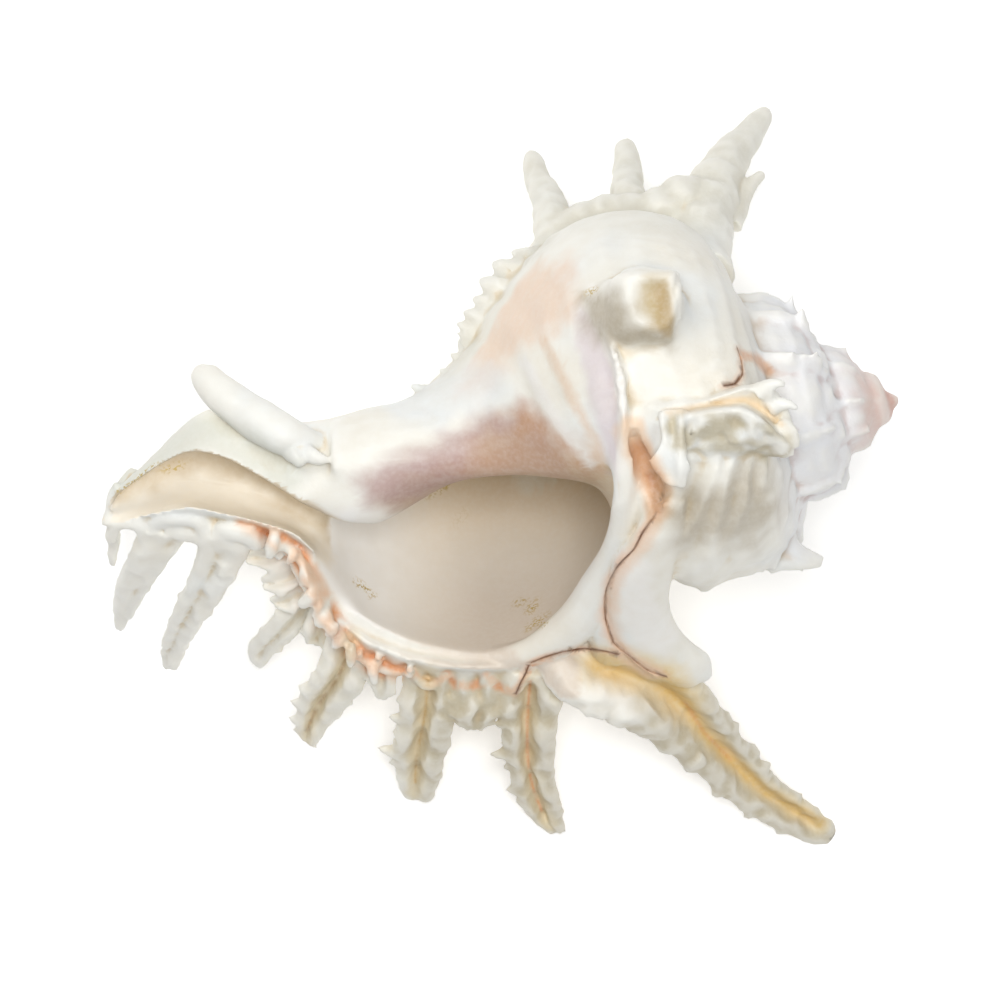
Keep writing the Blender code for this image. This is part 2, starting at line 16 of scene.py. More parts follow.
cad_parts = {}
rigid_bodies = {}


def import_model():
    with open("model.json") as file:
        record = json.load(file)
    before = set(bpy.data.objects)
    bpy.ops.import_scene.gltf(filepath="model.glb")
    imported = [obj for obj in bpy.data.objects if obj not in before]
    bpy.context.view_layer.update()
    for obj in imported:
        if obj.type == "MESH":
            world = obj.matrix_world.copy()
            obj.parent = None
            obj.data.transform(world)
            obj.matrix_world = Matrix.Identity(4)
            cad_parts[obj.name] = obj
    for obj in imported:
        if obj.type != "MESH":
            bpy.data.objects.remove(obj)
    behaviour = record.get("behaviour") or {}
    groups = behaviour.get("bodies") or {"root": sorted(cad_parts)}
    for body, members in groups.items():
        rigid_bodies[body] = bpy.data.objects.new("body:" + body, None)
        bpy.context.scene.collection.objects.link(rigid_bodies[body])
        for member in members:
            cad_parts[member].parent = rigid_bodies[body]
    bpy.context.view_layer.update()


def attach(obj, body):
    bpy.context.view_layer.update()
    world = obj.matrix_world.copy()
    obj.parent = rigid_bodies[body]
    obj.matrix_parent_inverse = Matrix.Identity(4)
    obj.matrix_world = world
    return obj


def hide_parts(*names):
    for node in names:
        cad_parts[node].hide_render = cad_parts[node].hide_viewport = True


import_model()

# %% [markdown]
# ## Tools for the shapes
# Every form of a shell is an outline that moves along a path: a whorl, a spine, a frond. By hand this is
# a circle with a face in it, extruded again and again, each new ring put in its place. The spin tool
# turns an outline without letting it grow, so the rings are placed by measure instead. Lengths are in
# millimetres up to the last step.

# %% One piece at a time
MM = 0.001
UP = np.array([0.0, 0.0, 1.0])


def only(piece):
    """Deselect everything, then take up one piece."""
    bpy.ops.object.select_all(action="DESELECT")
    piece.select_set(True)
    bpy.context.view_layer.objects.active = piece


def apply(piece, kind, **settings):
    """Give a piece a modifier and apply it."""
    only(piece)
    modifier = piece.modifiers.new(kind.lower(), kind)
    for name, value in settings.items():
        setattr(modifier, name, value)
    bpy.ops.object.modifier_apply(modifier=modifier.name)


# %% Extrude a ring along a path
def sweep(name, rings):
    """Closed solid through rings of points, from a circle that is extruded once for each ring."""
    bpy.ops.object.select_all(action="DESELECT")
    bpy.ops.mesh.primitive_circle_add(vertices=len(rings[0]), fill_type="NGON")
    piece = bpy.context.active_object
    piece.name = name
    bpy.ops.object.mode_set(mode="EDIT")
    shape = bmesh.from_edit_mesh(piece.data)
    front = list(shape.verts)
    for vert, point in zip(front, rings[0]):
        vert.co = point
    for ring in rings[1:]:
        bpy.ops.mesh.extrude_region_move()
        shape = bmesh.from_edit_mesh(piece.data)
        ahead = []
        for vert in front:
            ahead += [other for other in (edge.other_vert(vert) for edge in vert.link_edges) if other.select]
        front = ahead
        for vert, point in zip(front, ring):
            vert.co = point
    bpy.ops.mesh.select_all(action="SELECT")
    bpy.ops.mesh.normals_make_consistent(inside=False)
    bpy.ops.object.mode_set(mode="OBJECT")
    return piece


def smooth_rows(rows, count):
    """More rows on a smooth curve through the given ones, spread evenly over its length."""
    rows = np.array(rows, dtype=float)
    padded = np.vstack([2.0 * rows[0] - rows[1], rows, 2.0 * rows[-1] - rows[-2]])
    dense = []
    for index in range(len(rows) - 1):
        before, start, end, after = padded[index:index + 4]
        for step in np.linspace(0.0, 1.0, 12, endpoint=False):
            dense.append(0.5 * (
                2.0 * start + (end - before) * step
                + (2.0 * before - 5.0 * start + 4.0 * end - after) * step ** 2
                + (3.0 * start - before - 3.0 * end + after) * step ** 3))
    dense = np.array(dense + [rows[-1]])
    passed = np.append(0.0, np.cumsum(np.linalg.norm(np.diff(dense, axis=0), axis=1)))
    even = np.linspace(0.0, passed[-1], count)
    return np.array([np.interp(even, passed, column) for column in dense.T]).T


def heading(points, index):
    """Direction of a path at one of its points."""
    direction = points[min(index + 1, len(points) - 1)] - points[max(index - 1, 0)]
    return direction / np.linalg.norm(direction)


# %% Rods: round spines along a path
ROD_SPACING = 1.2


def rod(name, route, sides=14, lumps=0.0):
    """Round tapering spine along a route of x, y, z and radius, with a rough surface where lumps is set."""
    length = float(np.linalg.norm(np.diff(np.array(route)[:, :3], axis=0), axis=1).sum())
    rows = smooth_rows(route, max(int(length / ROD_SPACING), 5))
    rings = []
    for index, row in enumerate(rows):
        direction = heading(rows[:, :3], index)
        first = np.cross(direction, UP if abs(direction[2]) < 0.9 else SIDE)
        first /= np.linalg.norm(first)
        second = np.cross(direction, first)
        ring = []
        for side in range(sides):
            angle = 2.0 * math.pi * side / sides
            outwards = math.cos(angle) * first + math.sin(angle) * second
            rough = 1.0 + lumps * noise.noise(Vector(row[:3] + 3.0 * outwards) * 0.35)
            ring.append(row[:3] + max(row[3], 0.2) * rough * outwards)
        rings.append(ring)
    return sweep(name, rings)


# %% [markdown]
# ## The coiled body
# A murex adds a third of a turn, stops, thickens its lip, and goes on. Its outline keeps its shape and
# grows by the same factor each turn, and only the last half turn opens out into the wide lip and the
# canal. So one outline is kept for half a turn before the lip and one for the lip, and each ring between
# them is a mix of the two.

# %% Law of growth
APEX = np.array([93.6, 17.2, 57.0])
AXIS = np.array([-0.992, -0.1266, 0.0])
SIDE = np.array([-0.1266, 0.992, 0.0])
GROWTH_ALONG = 1.74
GROWTH_OUT = 1.84
LIP_TURN = -18.0
HALF_TURN = -180.0
FIRST_TURN = -1500.0
TURN_STEP = 4.0
LATE_CHANGE = 1.6
SPIRE_FROM = -420.0
SPIRE_OVER = 200.0
SPIRE_SLIM = 0.07
WHORL = np.array([
    (37.0, 28.0), (40.0, 37.0), (44.0, 44.5), (50.0, 48.5), (57.0, 50.3), (64.0, 50.6), (71.0, 49.2),
    (77.5, 45.5), (84.0, 39.5), (90.5, 32.5), (96.5, 24.0), (104.0, 17.5), (113.0, 14.0)])
WHORL_AT_LIP = np.array([
    (57.0, 22.0), (58.5, 31.0), (62.0, 39.5), (69.5, 46.0), (79.0, 50.5), (89.0, 53.0), (99.0, 53.5),
    (110.0, 52.0), (121.0, 48.5), (129.5, 43.5), (137.5, 35.5), (143.0, 25.5), (148.0, 14.0)])


def section(turn, before, at_lip):
    """Half section at a turn. It grows as a spiral, and over the last half turn it eases to the lip's."""
    share = min(max((turn - HALF_TURN) / (LIP_TURN - HALF_TURN), 0.0), 1.0)
    share = (share * share * (3.0 - 2.0 * share)) ** LATE_CHANGE
    turns = (turn - HALF_TURN) / 360.0
    slim = 1.0 - SPIRE_SLIM * min(max((SPIRE_FROM - turn) / SPIRE_OVER, 0.0), 1.0)
    return before * (GROWTH_ALONG ** turns, slim * GROWTH_OUT ** turns) * (1.0 - share) + at_lip * share


def size_at(turn):
    """Radius of the whorl at a turn."""
    return float(section(turn, WHORL, WHORL_AT_LIP)[:, 1].max())


def around(along, out, turn):
    """Point at a distance along the axis and out from it, in the half plane of a turn."""
    angle = math.radians(turn - 90.0)
    return APEX + along * AXIS + out * (math.sin(angle) * SIDE + math.cos(angle) * UP)


def whorl_point(turn, place, lift=0.0):
    """Point on the whorl's outside: place runs from the suture, 0, to the base, 1."""
    outline = section(turn, WHORL, WHORL_AT_LIP)
    steps = np.linspace(0.0, 1.0, len(outline))
    along = np.interp(place, steps, outline[:, 0])
    out = np.interp(place, steps, outline[:, 1])
    return around(along, out + lift, turn)


# %% Whorls
WHORL_POINTS = 40
AXIS_POINTS = 10
CORE_RADIUS = 0.3


def whorls():
    """Coiled body: the half section swept from the tip to the lip."""
    rings = []
    for turn in np.arange(FIRST_TURN, LIP_TURN + 0.1, TURN_STEP):
        ring = [whorl_point(turn, place) for place in np.linspace(0.0, 1.0, WHORL_POINTS)]
        outline = section(turn, WHORL, WHORL_AT_LIP)
        back = np.linspace(outline[-1, 0], outline[0, 0], AXIS_POINTS)
        ring += [around(along, CORE_RADIUS, turn) for along in back]
        rings.append(ring)
    return sweep("whorls", rings)


body = [whorls()]
print("whorls:", len(body[0].data.vertices), "points")

# %% [markdown]
# ## Varices
# Where the animal rested, the old lip stays as a thick rib across the whorl, three to a turn. On the
# spire each carries a few short scaly points, and two lower ribs lie between each two. A rib is a
# flat-topped outline swept across the whorl, and a point is a short rod.

# %% Ribs and knobs
VARIX_TURNS = [-146.0, -266.0, -386.0, -500.0, -600.0, -735.0, -862.0, -985.0, -1105.0, -1225.0]
VARIX_HEIGHT = 0.085
TALL_VARIX = 2.6
LOW_VARIX = 0.3
SPIRE_VARIX = 1.7
# Rows: degrees ahead, share of the height, depth of the foot.
VARIX_SECTION = [(-9.0, 0.0, 1.5), (-3.5, 0.75, 0.0), (2.6, 1.1, 0.0), (3.8, 0.0, 1.5), (0.0, 0.0, 3.0)]
VARIX_PLACES = (0.04, 0.8)
RIB_POINTS = 40
LOW_RIB = 0.9
# Rows: place on the outline, height.
KNOBS = (
    (0.04, 0.5), (0.1, 0.8), (0.15, 1.3), (0.21, 0.7), (0.28, 0.8), (0.36, 0.45), (0.45, 0.65), (0.56, 0.4))
KNOB_HEIGHT = 0.22
KNOB_RADIUS = 0.05
RIBS_BETWEEN = 2
LOW_KNOBS = 0.6


def varix(name, turn, height):
    """Rib across the whorl with a ragged crest. It is low on the canal side."""
    rings = []
    for place in np.linspace(*VARIX_PLACES, RIB_POINTS):
        rise = height * (0.45 + 0.55 * math.sin(math.pi * place) ** 0.5)
        rise *= 1.0 - 0.7 * min(max((place - 0.5) / 0.12, 0.0), 1.0)
        rise *= 1.0 + 0.3 * noise.noise(Vector((30.0 * place, turn, 0.0)))
        rings.append([
            whorl_point(turn + ahead, place, rise * share - foot) for ahead, share, foot in VARIX_SECTION])
    return sweep(name, rings)


def knob(name, turn, place, height, radius, lean=0.12):
    """Short point on a varix, which leans to the front."""
    foot = whorl_point(turn, place, -radius)
    tip = whorl_point(turn, place, height)
    push = lean * height * -AXIS
    middle = (foot + tip) / 2.0 + push
    end = tip + 2.0 * push
    return rod(name, [(*foot, 1.2 * radius), (*middle, 0.9 * radius), (*end, 0.35 * radius)], sides=8)


def knobs(name, turn, share):
    """Row of short points down a rib."""
    size = size_at(turn)
    row = []
    for place, tall in KNOBS:
        wander = 3.0 * noise.noise(Vector((9.0 * place, turn, 0.0)))
        tall *= share * (1.0 + 0.6 * noise.noise(Vector((7.0 * place, turn, 5.0))))
        height = KNOB_HEIGHT * size * tall
        row.append(knob(f"{name}_{place}", turn + wander, place, height, KNOB_RADIUS * size))
    return row


for number, turn in enumerate(VARIX_TURNS):
    share = {0: TALL_VARIX, 1: LOW_VARIX}.get(number, SPIRE_VARIX)
    body.append(varix(f"varix_{number}", turn, VARIX_HEIGHT * size_at(turn) * share))
    if number > 1:
        body += knobs(f"knob_{number}", turn, 1.0)
    if number > 2:
        for step in range(1, RIBS_BETWEEN + 1):
            rib_turn = turn + step * (VARIX_TURNS[number - 1] - turn) / (RIBS_BETWEEN + 1.0)
            body.append(varix(f"rib_{number}_{step}", rib_turn, LOW_RIB * VARIX_HEIGHT * size_at(rib_turn)))
            body += knobs(f"rib_knob_{number}_{step}", rib_turn, LOW_KNOBS)

# %% Ragged frill along the suture of the spire
FRILL_TURNS = (-1150.0, -395.0)
FRILL_STEP = 3.0
FRILL_HEIGHT = 0.13


def suture_frill():
    """Thin torn edge with which each whorl is laid on the one before."""
    rings = []
    for turn in np.arange(*FRILL_TURNS, FRILL_STEP):
        size = size_at(turn)
        torn = 0.6 + 0.5 * noise.noise(Vector((turn * 0.11, 3.0, 0.0))) + 0.3 * math.sin(turn * 0.19)
        height = FRILL_HEIGHT * size * max(torn, 0.15)
        rings.append([
            whorl_point(turn, 0.0, -0.06 * size), whorl_point(turn, 0.09, -0.02 * size),
            whorl_point(turn, 0.05, 0.6 * height), whorl_point(turn, 0.0, height) + 0.05 * size * -AXIS])
    return sweep("suture_frill", rings)


body.append(suture_frill())
print("body pieces with varices:", len(body))

# %% [markdown]
# ## Pillar, canal and lip
# The pillar is the wall that the whorls share round the axis. The canal is the long half tube for the
# animal's water siphon. The lip is the thick last edge, and its outer side is drawn out between the
# fronds into small folds.

# %% Pillar and canal
# Rows: distance along the axis, radius.
PILLAR_CORE = [
    (3.0, 1.4), (12.0, 3.6), (30.0, 8.0), (60.0, 12.0), (95.0, 12.0), (118.0, 13.0), (132.0, 12.0)]
# Canal, from the whorl to its end: x, top edge y, bottom edge y, middle z, half height.
CANAL = [
    (-20.0, 17.0, -34.0, 55.0, 15.0), (-32.0, 14.5, -29.0, 54.0, 14.0), (-43.0, 12.0, -17.0, 53.0, 12.5),
    (-54.0, 12.5, -12.2, 52.0, 11.5), (-66.0, 14.6, -10.0, 51.0, 10.5), (-74.5, 8.7, -9.2, 50.0, 9.0),
    (-81.0, 2.6, -9.8, 49.0, 7.5), (-87.0, -3.0, -11.0, 48.0, 5.5), (-90.0, -7.6, -12.2, 47.2, 3.2)]
CANAL_SIDES = 32


def canal():
    """Outside of the siphonal canal, which narrows to its end."""
    rings = []
    for x, top, bottom, middle, half_height in smooth_rows(CANAL, 50):
        ring = []
        for side in range(CANAL_SIDES):
            angle = 2.0 * math.pi * side / CANAL_SIDES
            y = (top + bottom) / 2.0 + (top - bottom) / 2.0 * math.cos(angle)
            ring.append((x, y, middle + half_height * math.sin(angle)))
        rings.append(ring)
    return sweep("canal", rings)


body.append(rod("pillar", [(*(APEX + along * AXIS), radius) for along, radius in PILLAR_CORE], sides=20))
body.append(canal())

# %% Thick edge of the lip
# Rows: degrees ahead, lift.
BAND_SECTION = [(-12.0, -1.0), (-10.0, 2.4), (-5.5, 3.0), (1.8, -2.0), (-3.0, -3.5)]
BAND_PLACES = (0.1, 0.93)
BAND_POINTS = 200
BAND_FOLDS = 15.0
BAND_FOLD_HEIGHT = 2.2


def fold_at(place):
    """How far the folds push the lip's outer side out: wide lobes with narrow notches between them."""
    return BAND_FOLD_HEIGHT * (abs(math.sin(math.pi * BAND_FOLDS * place)) ** 0.7 - 0.6)


def lip_band():
    """Thick outer edge of the last whorl, with small folds along it."""
    rings = []
    for place in np.linspace(*BAND_PLACES, BAND_POINTS):
        fold = fold_at(place)
        rings.append([
            whorl_point(LIP_TURN + ahead, place, lift + (fold if lift > 0.0 else 0.0))
            for ahead, lift in BAND_SECTION])
    return sweep("lip_band", rings)


body.append(lip_band())

# %% Grow the body together
BODY_VOXEL = 0.8


def fuse(pieces, name, voxel):
    """Join overlapping pieces and grow them together into one closed skin."""
    bpy.ops.object.select_all(action="DESELECT")
    for piece in pieces:
        piece.select_set(True)
    bpy.context.view_layer.objects.active = pieces[0]
    bpy.ops.object.join()
    whole = bpy.context.active_object
    whole.name = name
    apply(whole, "REMESH", mode="VOXEL", voxel_size=voxel)
    return whole


body = fuse(body, "body", BODY_VOXEL)
print("body:", len(body.data.vertices), "points")

# %% [markdown]
# ## Relief of the whorls
# The skin of the whorls carries low cords that run round with the coil, fine growth lines across them
# and soft lumps. They follow the growth, so each point of the skin is first traced back to its turn and
# its place on the outline. Then it is moved out by a small height.


# %% Read and move points
def points_of(piece, what="co"):
    """Points of a piece, or the directions in which it faces there, as rows of x, y, z."""
    flat = np.empty(len(piece.data.vertices) * 3)
    piece.data.vertices.foreach_get(what, flat)
    return flat.reshape(-1, 3)


def put_points(piece, points):
    """Move the points of a piece."""
    piece.data.vertices.foreach_set("co", points.ravel())
    piece.data.update()


def ramp(value, start, end):
    """Smooth step from 0 at start to 1 at end."""
    share = np.clip((value - start) / (end - start), 0.0, 1.0)
    return share * share * (3.0 - 2.0 * share)


def lumps_at(points, size, seed=0.0):
    """Soft random lumps of about a size, from -1 to 1."""
    scaled = points / size + seed
    return np.array([noise.noise(Vector(point)) for point in scaled])


# %% Rub a place smooth
RUB_SOFT = 3.0


def along_route(points, route):
    """Distance of points from a route, seen from above."""
    nearest = np.full(len(points), 1e9)
    route = np.array(route, dtype=float)
    for start, end in zip(route, route[1:]):
        step = end - start
        share = np.clip(((points[:, :2] - start) @ step) / (step @ step), 0.0, 1.0)
        gap = points[:, :2] - start - share[:, None] * step
        nearest = np.minimum(nearest, np.hypot(gap[:, 0], gap[:, 1]))
    return nearest


def edge_ends(piece):
    """Pairs of points that share an edge."""
    ends = np.empty(len(piece.data.edges) * 2, dtype=np.int64)
    piece.data.edges.foreach_get("vertices", ends)
    return ends.reshape(-1, 2)


def neighbour_mean(points, ends):
    """Mean of the neighbours of each point."""
    count = np.bincount(ends.ravel(), minlength=len(points)).clip(1)
    total = [
        np.bincount(ends[:, 0], column[ends[:, 1]], len(points))
        + np.bincount(ends[:, 1], column[ends[:, 0]], len(points)) for column in points.T]
    return np.column_stack(total) / count[:, None]


def rub(piece, route, radius, repeats, low, high=120.0):
    """Average the points near a route again and again, as if sanded, between two heights."""
    points = points_of(piece)
    ends = edge_ends(piece)
    amount = 1.0 - ramp(along_route(points, route), 0.5 * radius, radius)
    amount *= ramp(points[:, 2], low, low + RUB_SOFT)
    amount *= 1.0 - ramp(points[:, 2], high - RUB_SOFT, high)
    ends = ends[(amount[ends[:, 0]] > 0.0) | (amount[ends[:, 1]] > 0.0)]
    used, ends = np.unique(ends, return_inverse=True)
    ends = ends.reshape(-1, 2)
    near = points[used]
    share = 0.5 * amount[used, None]
    for _ in range(repeats):
        near += share * (neighbour_mean(near, ends) - near)
    points[used] = near
    put_points(piece, points)


# %% Trace points back to the spiral
TURNS_BACK = 4
TABLE_STEP = 2.0


def trace(points):
    """Turn, place on the outline and distance from the whorl's outside, for points near it."""
    offset = points - APEX
    along = offset @ AXIS
    side = offset @ SIDE
    out = np.hypot(side, offset[:, 2])
    angle = np.degrees(np.arctan2(side, offset[:, 2])) + 90.0
    best = np.full(len(points), 1e9)
    turn_of = np.zeros(len(points))
    place_of = np.zeros(len(points))
    table = np.arange(FIRST_TURN, LIP_TURN + 1.0, TABLE_STEP)
    outlines = np.array([section(turn, WHORL, WHORL_AT_LIP) for turn in table])
    last = len(WHORL) - 1
    for back in range(TURNS_BACK + 1):
        turn = angle - 360.0 * back
        turn = np.where(turn > LIP_TURN + 2.0, turn - 360.0 * (TURNS_BACK + 1), turn)
        row = np.clip(((turn - FIRST_TURN) / TABLE_STEP).astype(int), 0, len(table) - 1)
        for index in range(last):
            start = outlines[row, index]
            step = outlines[row, index + 1] - start
            gap_along = along - start[:, 0]
            gap_out = out - start[:, 1]
            ahead = gap_along * step[:, 0] + gap_out * step[:, 1]
            share = np.clip(ahead / (step[:, 0] ** 2 + step[:, 1] ** 2), 0.0, 1.0)
            gap = np.hypot(gap_along - share * step[:, 0], gap_out - share * step[:, 1])
            closer = gap < best
            best[closer] = gap[closer]
            turn_of[closer] = turn[closer]
            place_of[closer] = (index + share[closer]) / last
    return turn_of, place_of, best


# %% Cords, growth lines and lumps
CORDS = 13.0
CORD_HEIGHT = 0.004
GROWTH_SPACING = 5.0
GROWTH_HEIGHT = 0.002
LUMP_SIZE = 7.0
LUMP_HEIGHT = 0.35
SKIN_REACH = 3.0
SPIRE_LUMPS = 2.2
WANDER_SIZE = 16.0
FINE_LUMP_SIZE = 2.6
WRINKLE_HEIGHT = 1.0
WRINKLE_COUNT = 13.0
WRINKLE_SLANT = 14.0
WRINKLE_LENGTH = 30.0
WRINKLE_TURNS = (-345.0, -335.0, -285.0, -270.0)


def relief(piece):
    """Move the body's skin out by its cords, growth lines and lumps."""
    points = points_of(piece)
    facing = points_of(piece, "normal")
    turn, place, gap = trace(points)
    late = np.interp(turn, [HALF_TURN, LIP_TURN], [size_at(HALF_TURN), size_at(LIP_TURN)])
    early = size_at(HALF_TURN) * GROWTH_OUT ** ((turn - HALF_TURN) / 360.0)
    radius = np.where(turn < HALF_TURN, early, late)
    skin = 1.0 - ramp(gap, 0.5 * SKIN_REACH, SKIN_REACH)
    wander = lumps_at(points, WANDER_SIZE)
    cords = np.cos(2.0 * math.pi * (CORDS * place + 0.3 * wander))
    lines = np.sin(2.0 * math.pi * (turn / GROWTH_SPACING + 0.8 * wander + 0.5 * np.sin(9.0 * place)))
    height = radius * (CORD_HEIGHT * cords + GROWTH_HEIGHT * lines * (0.6 + 0.4 * np.sin(turn / 7.0)))
    soft = LUMP_HEIGHT * lumps_at(points, LUMP_SIZE, 40.0)
    soft = soft + 0.4 * LUMP_HEIGHT * lumps_at(points, FINE_LUMP_SIZE, 80.0)
    soft *= np.where(turn < SPIRE_FROM, SPIRE_LUMPS, 1.0)
    across = np.column_stack([
        WRINKLE_COUNT * place + turn / WRINKLE_SLANT, turn / WRINKLE_LENGTH, np.zeros(len(turn))])
    wrinkles = 1.0 - 2.0 * np.abs(lumps_at(across, 1.0, 5.0))
    start, full, less, end = WRINKLE_TURNS
    soft += WRINKLE_HEIGHT * (wrinkles - 0.5) * ramp(turn, start, full) * (1.0 - ramp(turn, less, end))
    put_points(piece, points + facing * (skin * height + soft)[:, None])


relief(body)

# %% [markdown]
# ## The hollow
# The hollow of the last whorl follows the same law as its outside, with its own outlines: an outer side
# under the wall and an inner side on the pillar. Past the lip it goes on and flares, so that it cuts the
# opening free. The canal's channel is a second cutter, wider below than at its rim.

# %% Cutter for the hollow
HOLLOW = np.array([
    (43.5, 27.0), (46.0, 34.5), (49.5, 41.0), (55.0, 44.8), (62.0, 46.4), (68.0, 45.4), (74.0, 41.8),
    (80.0, 36.0), (86.0, 29.5), (91.5, 22.5), (95.5, 17.5), (99.0, 14.5), (102.0, 12.5)])
HOLLOW_AT_LIP = np.array([
    (66.5, 17.0), (68.5, 23.0), (72.0, 30.0), (77.5, 37.0), (84.0, 43.0), (92.0, 46.8), (100.5, 48.4),
    (109.0, 47.0), (119.0, 43.0), (127.0, 38.0), (132.5, 32.5), (136.0, 25.0), (138.0, 17.0)])
PILLAR = np.array([
    (100.0, 11.0), (93.0, 9.5), (86.0, 8.0), (79.0, 7.0), (72.0, 7.0), (64.0, 8.0), (56.0, 11.0),
    (48.0, 17.0)])
PILLAR_AT_LIP = np.array([
    (136.0, 13.0), (124.0, 13.0), (112.0, 8.4), (104.0, 5.2), (96.0, 3.6), (88.0, 4.0), (80.0, 6.2),
    (72.5, 11.0)])
OPENING_DEPTH = 175.0
OPENING_FRONT = 95.0
OPENING_FLARE = 0.9
OPENING_FLARE_WITHIN = 0.25
OPENING_STEP = 4.5
CALLUS_TOP = 31.0
CALLUS_SLOPE = 0.42
CALLUS_CURVE = 3.5
CALLUS_LEAST = 2.0


def opening():
    """Hollow of the last whorl, from deep inside out through the opening."""
    rings = []
    for turn in np.arange(LIP_TURN - OPENING_DEPTH, LIP_TURN + OPENING_FRONT + 1.0, OPENING_STEP):
        forward = max(turn - LIP_TURN, 0.0) / OPENING_FRONT
        flare = 1.0 + OPENING_FLARE * min(forward / OPENING_FLARE_WITHIN, 1.0)
        at = min(turn, LIP_TURN)
        outer = smooth_rows(section(at, HOLLOW, HOLLOW_AT_LIP), 36)
        inner = smooth_rows(section(at, PILLAR, PILLAR_AT_LIP), 24)
        ring = [around(along, out * flare, turn) for along, out in outer]
        for along, out in inner:
            callus = max(CALLUS_TOP - CALLUS_SLOPE * (along - PILLAR_AT_LIP[-1, 0]), out + CALLUS_LEAST)
            ring.append(around(along, out + (callus - out) * forward ** CALLUS_CURVE, turn))
        rings.append(ring)
    return sweep("opening", rings)


# %% Cutter for the channel
# Channel in the canal: x, thin rim y, lip side y, floor z, rim z.
CHANNEL = [
    (-26.0, -17.0, -26.0, 45.0, 61.0), (-34.0, -13.0, -25.0, 44.0, 61.0), (-40.0, -9.6, -20.0, 43.5, 60.5),
    (-46.0, -5.5, -14.0, 43.5, 60.0), (-56.0, 0.6, -10.6, 43.5, 59.0), (-63.0, 4.0, -9.0, 43.5, 58.5),
    (-70.0, 5.0, -7.6, 43.5, 57.0), (-76.0, 2.6, -8.6, 43.8, 55.0), (-82.0, -1.2, -10.0, 44.0, 52.5),
    (-88.0, -5.4, -11.4, 45.0, 50.0), (-94.0, -9.6, -12.6, 46.0, 49.0)]
UNDERCUT = 5.0
CHANNEL_TOP = 80.0


def channel():
    """Hollow of the canal, open upwards between its thin rim and the lip."""
    rings = []
    for x, rim, lip, floor, rim_height in smooth_rows(CHANNEL, 60):
        middle = (rim + lip) / 2.0
        under = min(UNDERCUT, 0.4 * (rim - lip))
        side = floor + 0.45 * (rim_height - floor)
        below = smooth_rows([
            (x, rim, rim_height), (x, rim + under, side + 1.0), (x, rim + 0.6 * under, floor + 1.5),
            (x, middle + 0.3 * under, floor), (x, middle - 0.25 * (rim - lip), floor + 1.0),
            (x, lip + 1.0, side), (x, lip, rim_height)], 24)
        rings.append([(x, rim, CHANNEL_TOP)] + list(below) + [(x, lip, CHANNEL_TOP)])
    return sweep("channel", rings)


# Valley between the old canal and the thin rim, as a cutter: x, y, z and radius.
VALLEY = [
    (-78.0, 7.6, 70.0, 7.5), (-68.0, 8.6, 69.0, 8.0), (-59.0, 6.2, 69.0, 8.0), (-51.0, 2.8, 69.4, 7.4),
    (-46.0, 0.6, 68.6, 5.4)]
DENT = 1.9
DENT_ALONG = (47.0, 52.0, 64.0, 69.0)
DENT_ACROSS = (8.0, 20.0)
CREASE = [(-43.5, 3.0), (-43.5, 9.0), (-42.5, 15.0)]

# %% Cut both
hollow_skin = opening()
channel_skin = channel()
valley = rod("valley", VALLEY, sides=24)
apply(body, "BOOLEAN", operation="DIFFERENCE", object=valley, solver="MANIFOLD")
bpy.data.objects.remove(valley)
for cutter in (hollow_skin, channel_skin):
    apply(body, "BOOLEAN", operation="DIFFERENCE", object=cutter, solver="MANIFOLD")
print("body with its hollow:", len(body.data.vertices), "points")
places = points_of(body)
x, y = places[:, 0], places[:, 1]
start, full, less, end = DENT_ALONG
places[:, 1] += DENT * ramp(x, start, full) * (1.0 - ramp(x, less, end)) * ramp(-y, *DENT_ACROSS)
put_points(body, places)
rub(body, CREASE, radius=6.0, repeats=60, low=55.0)
HOLLOW_TREE = BVHTree.FromObject(hollow_skin, bpy.context.evaluated_depsgraph_get())
CHANNEL_TREE = BVHTree.FromObject(channel_skin, bpy.context.evaluated_depsgraph_get())
BODY_TREE = BVHTree.FromObject(body, bpy.context.evaluated_depsgraph_get())
bpy.data.objects.remove(hollow_skin)
bpy.data.objects.remove(channel_skin)
grown = [body]
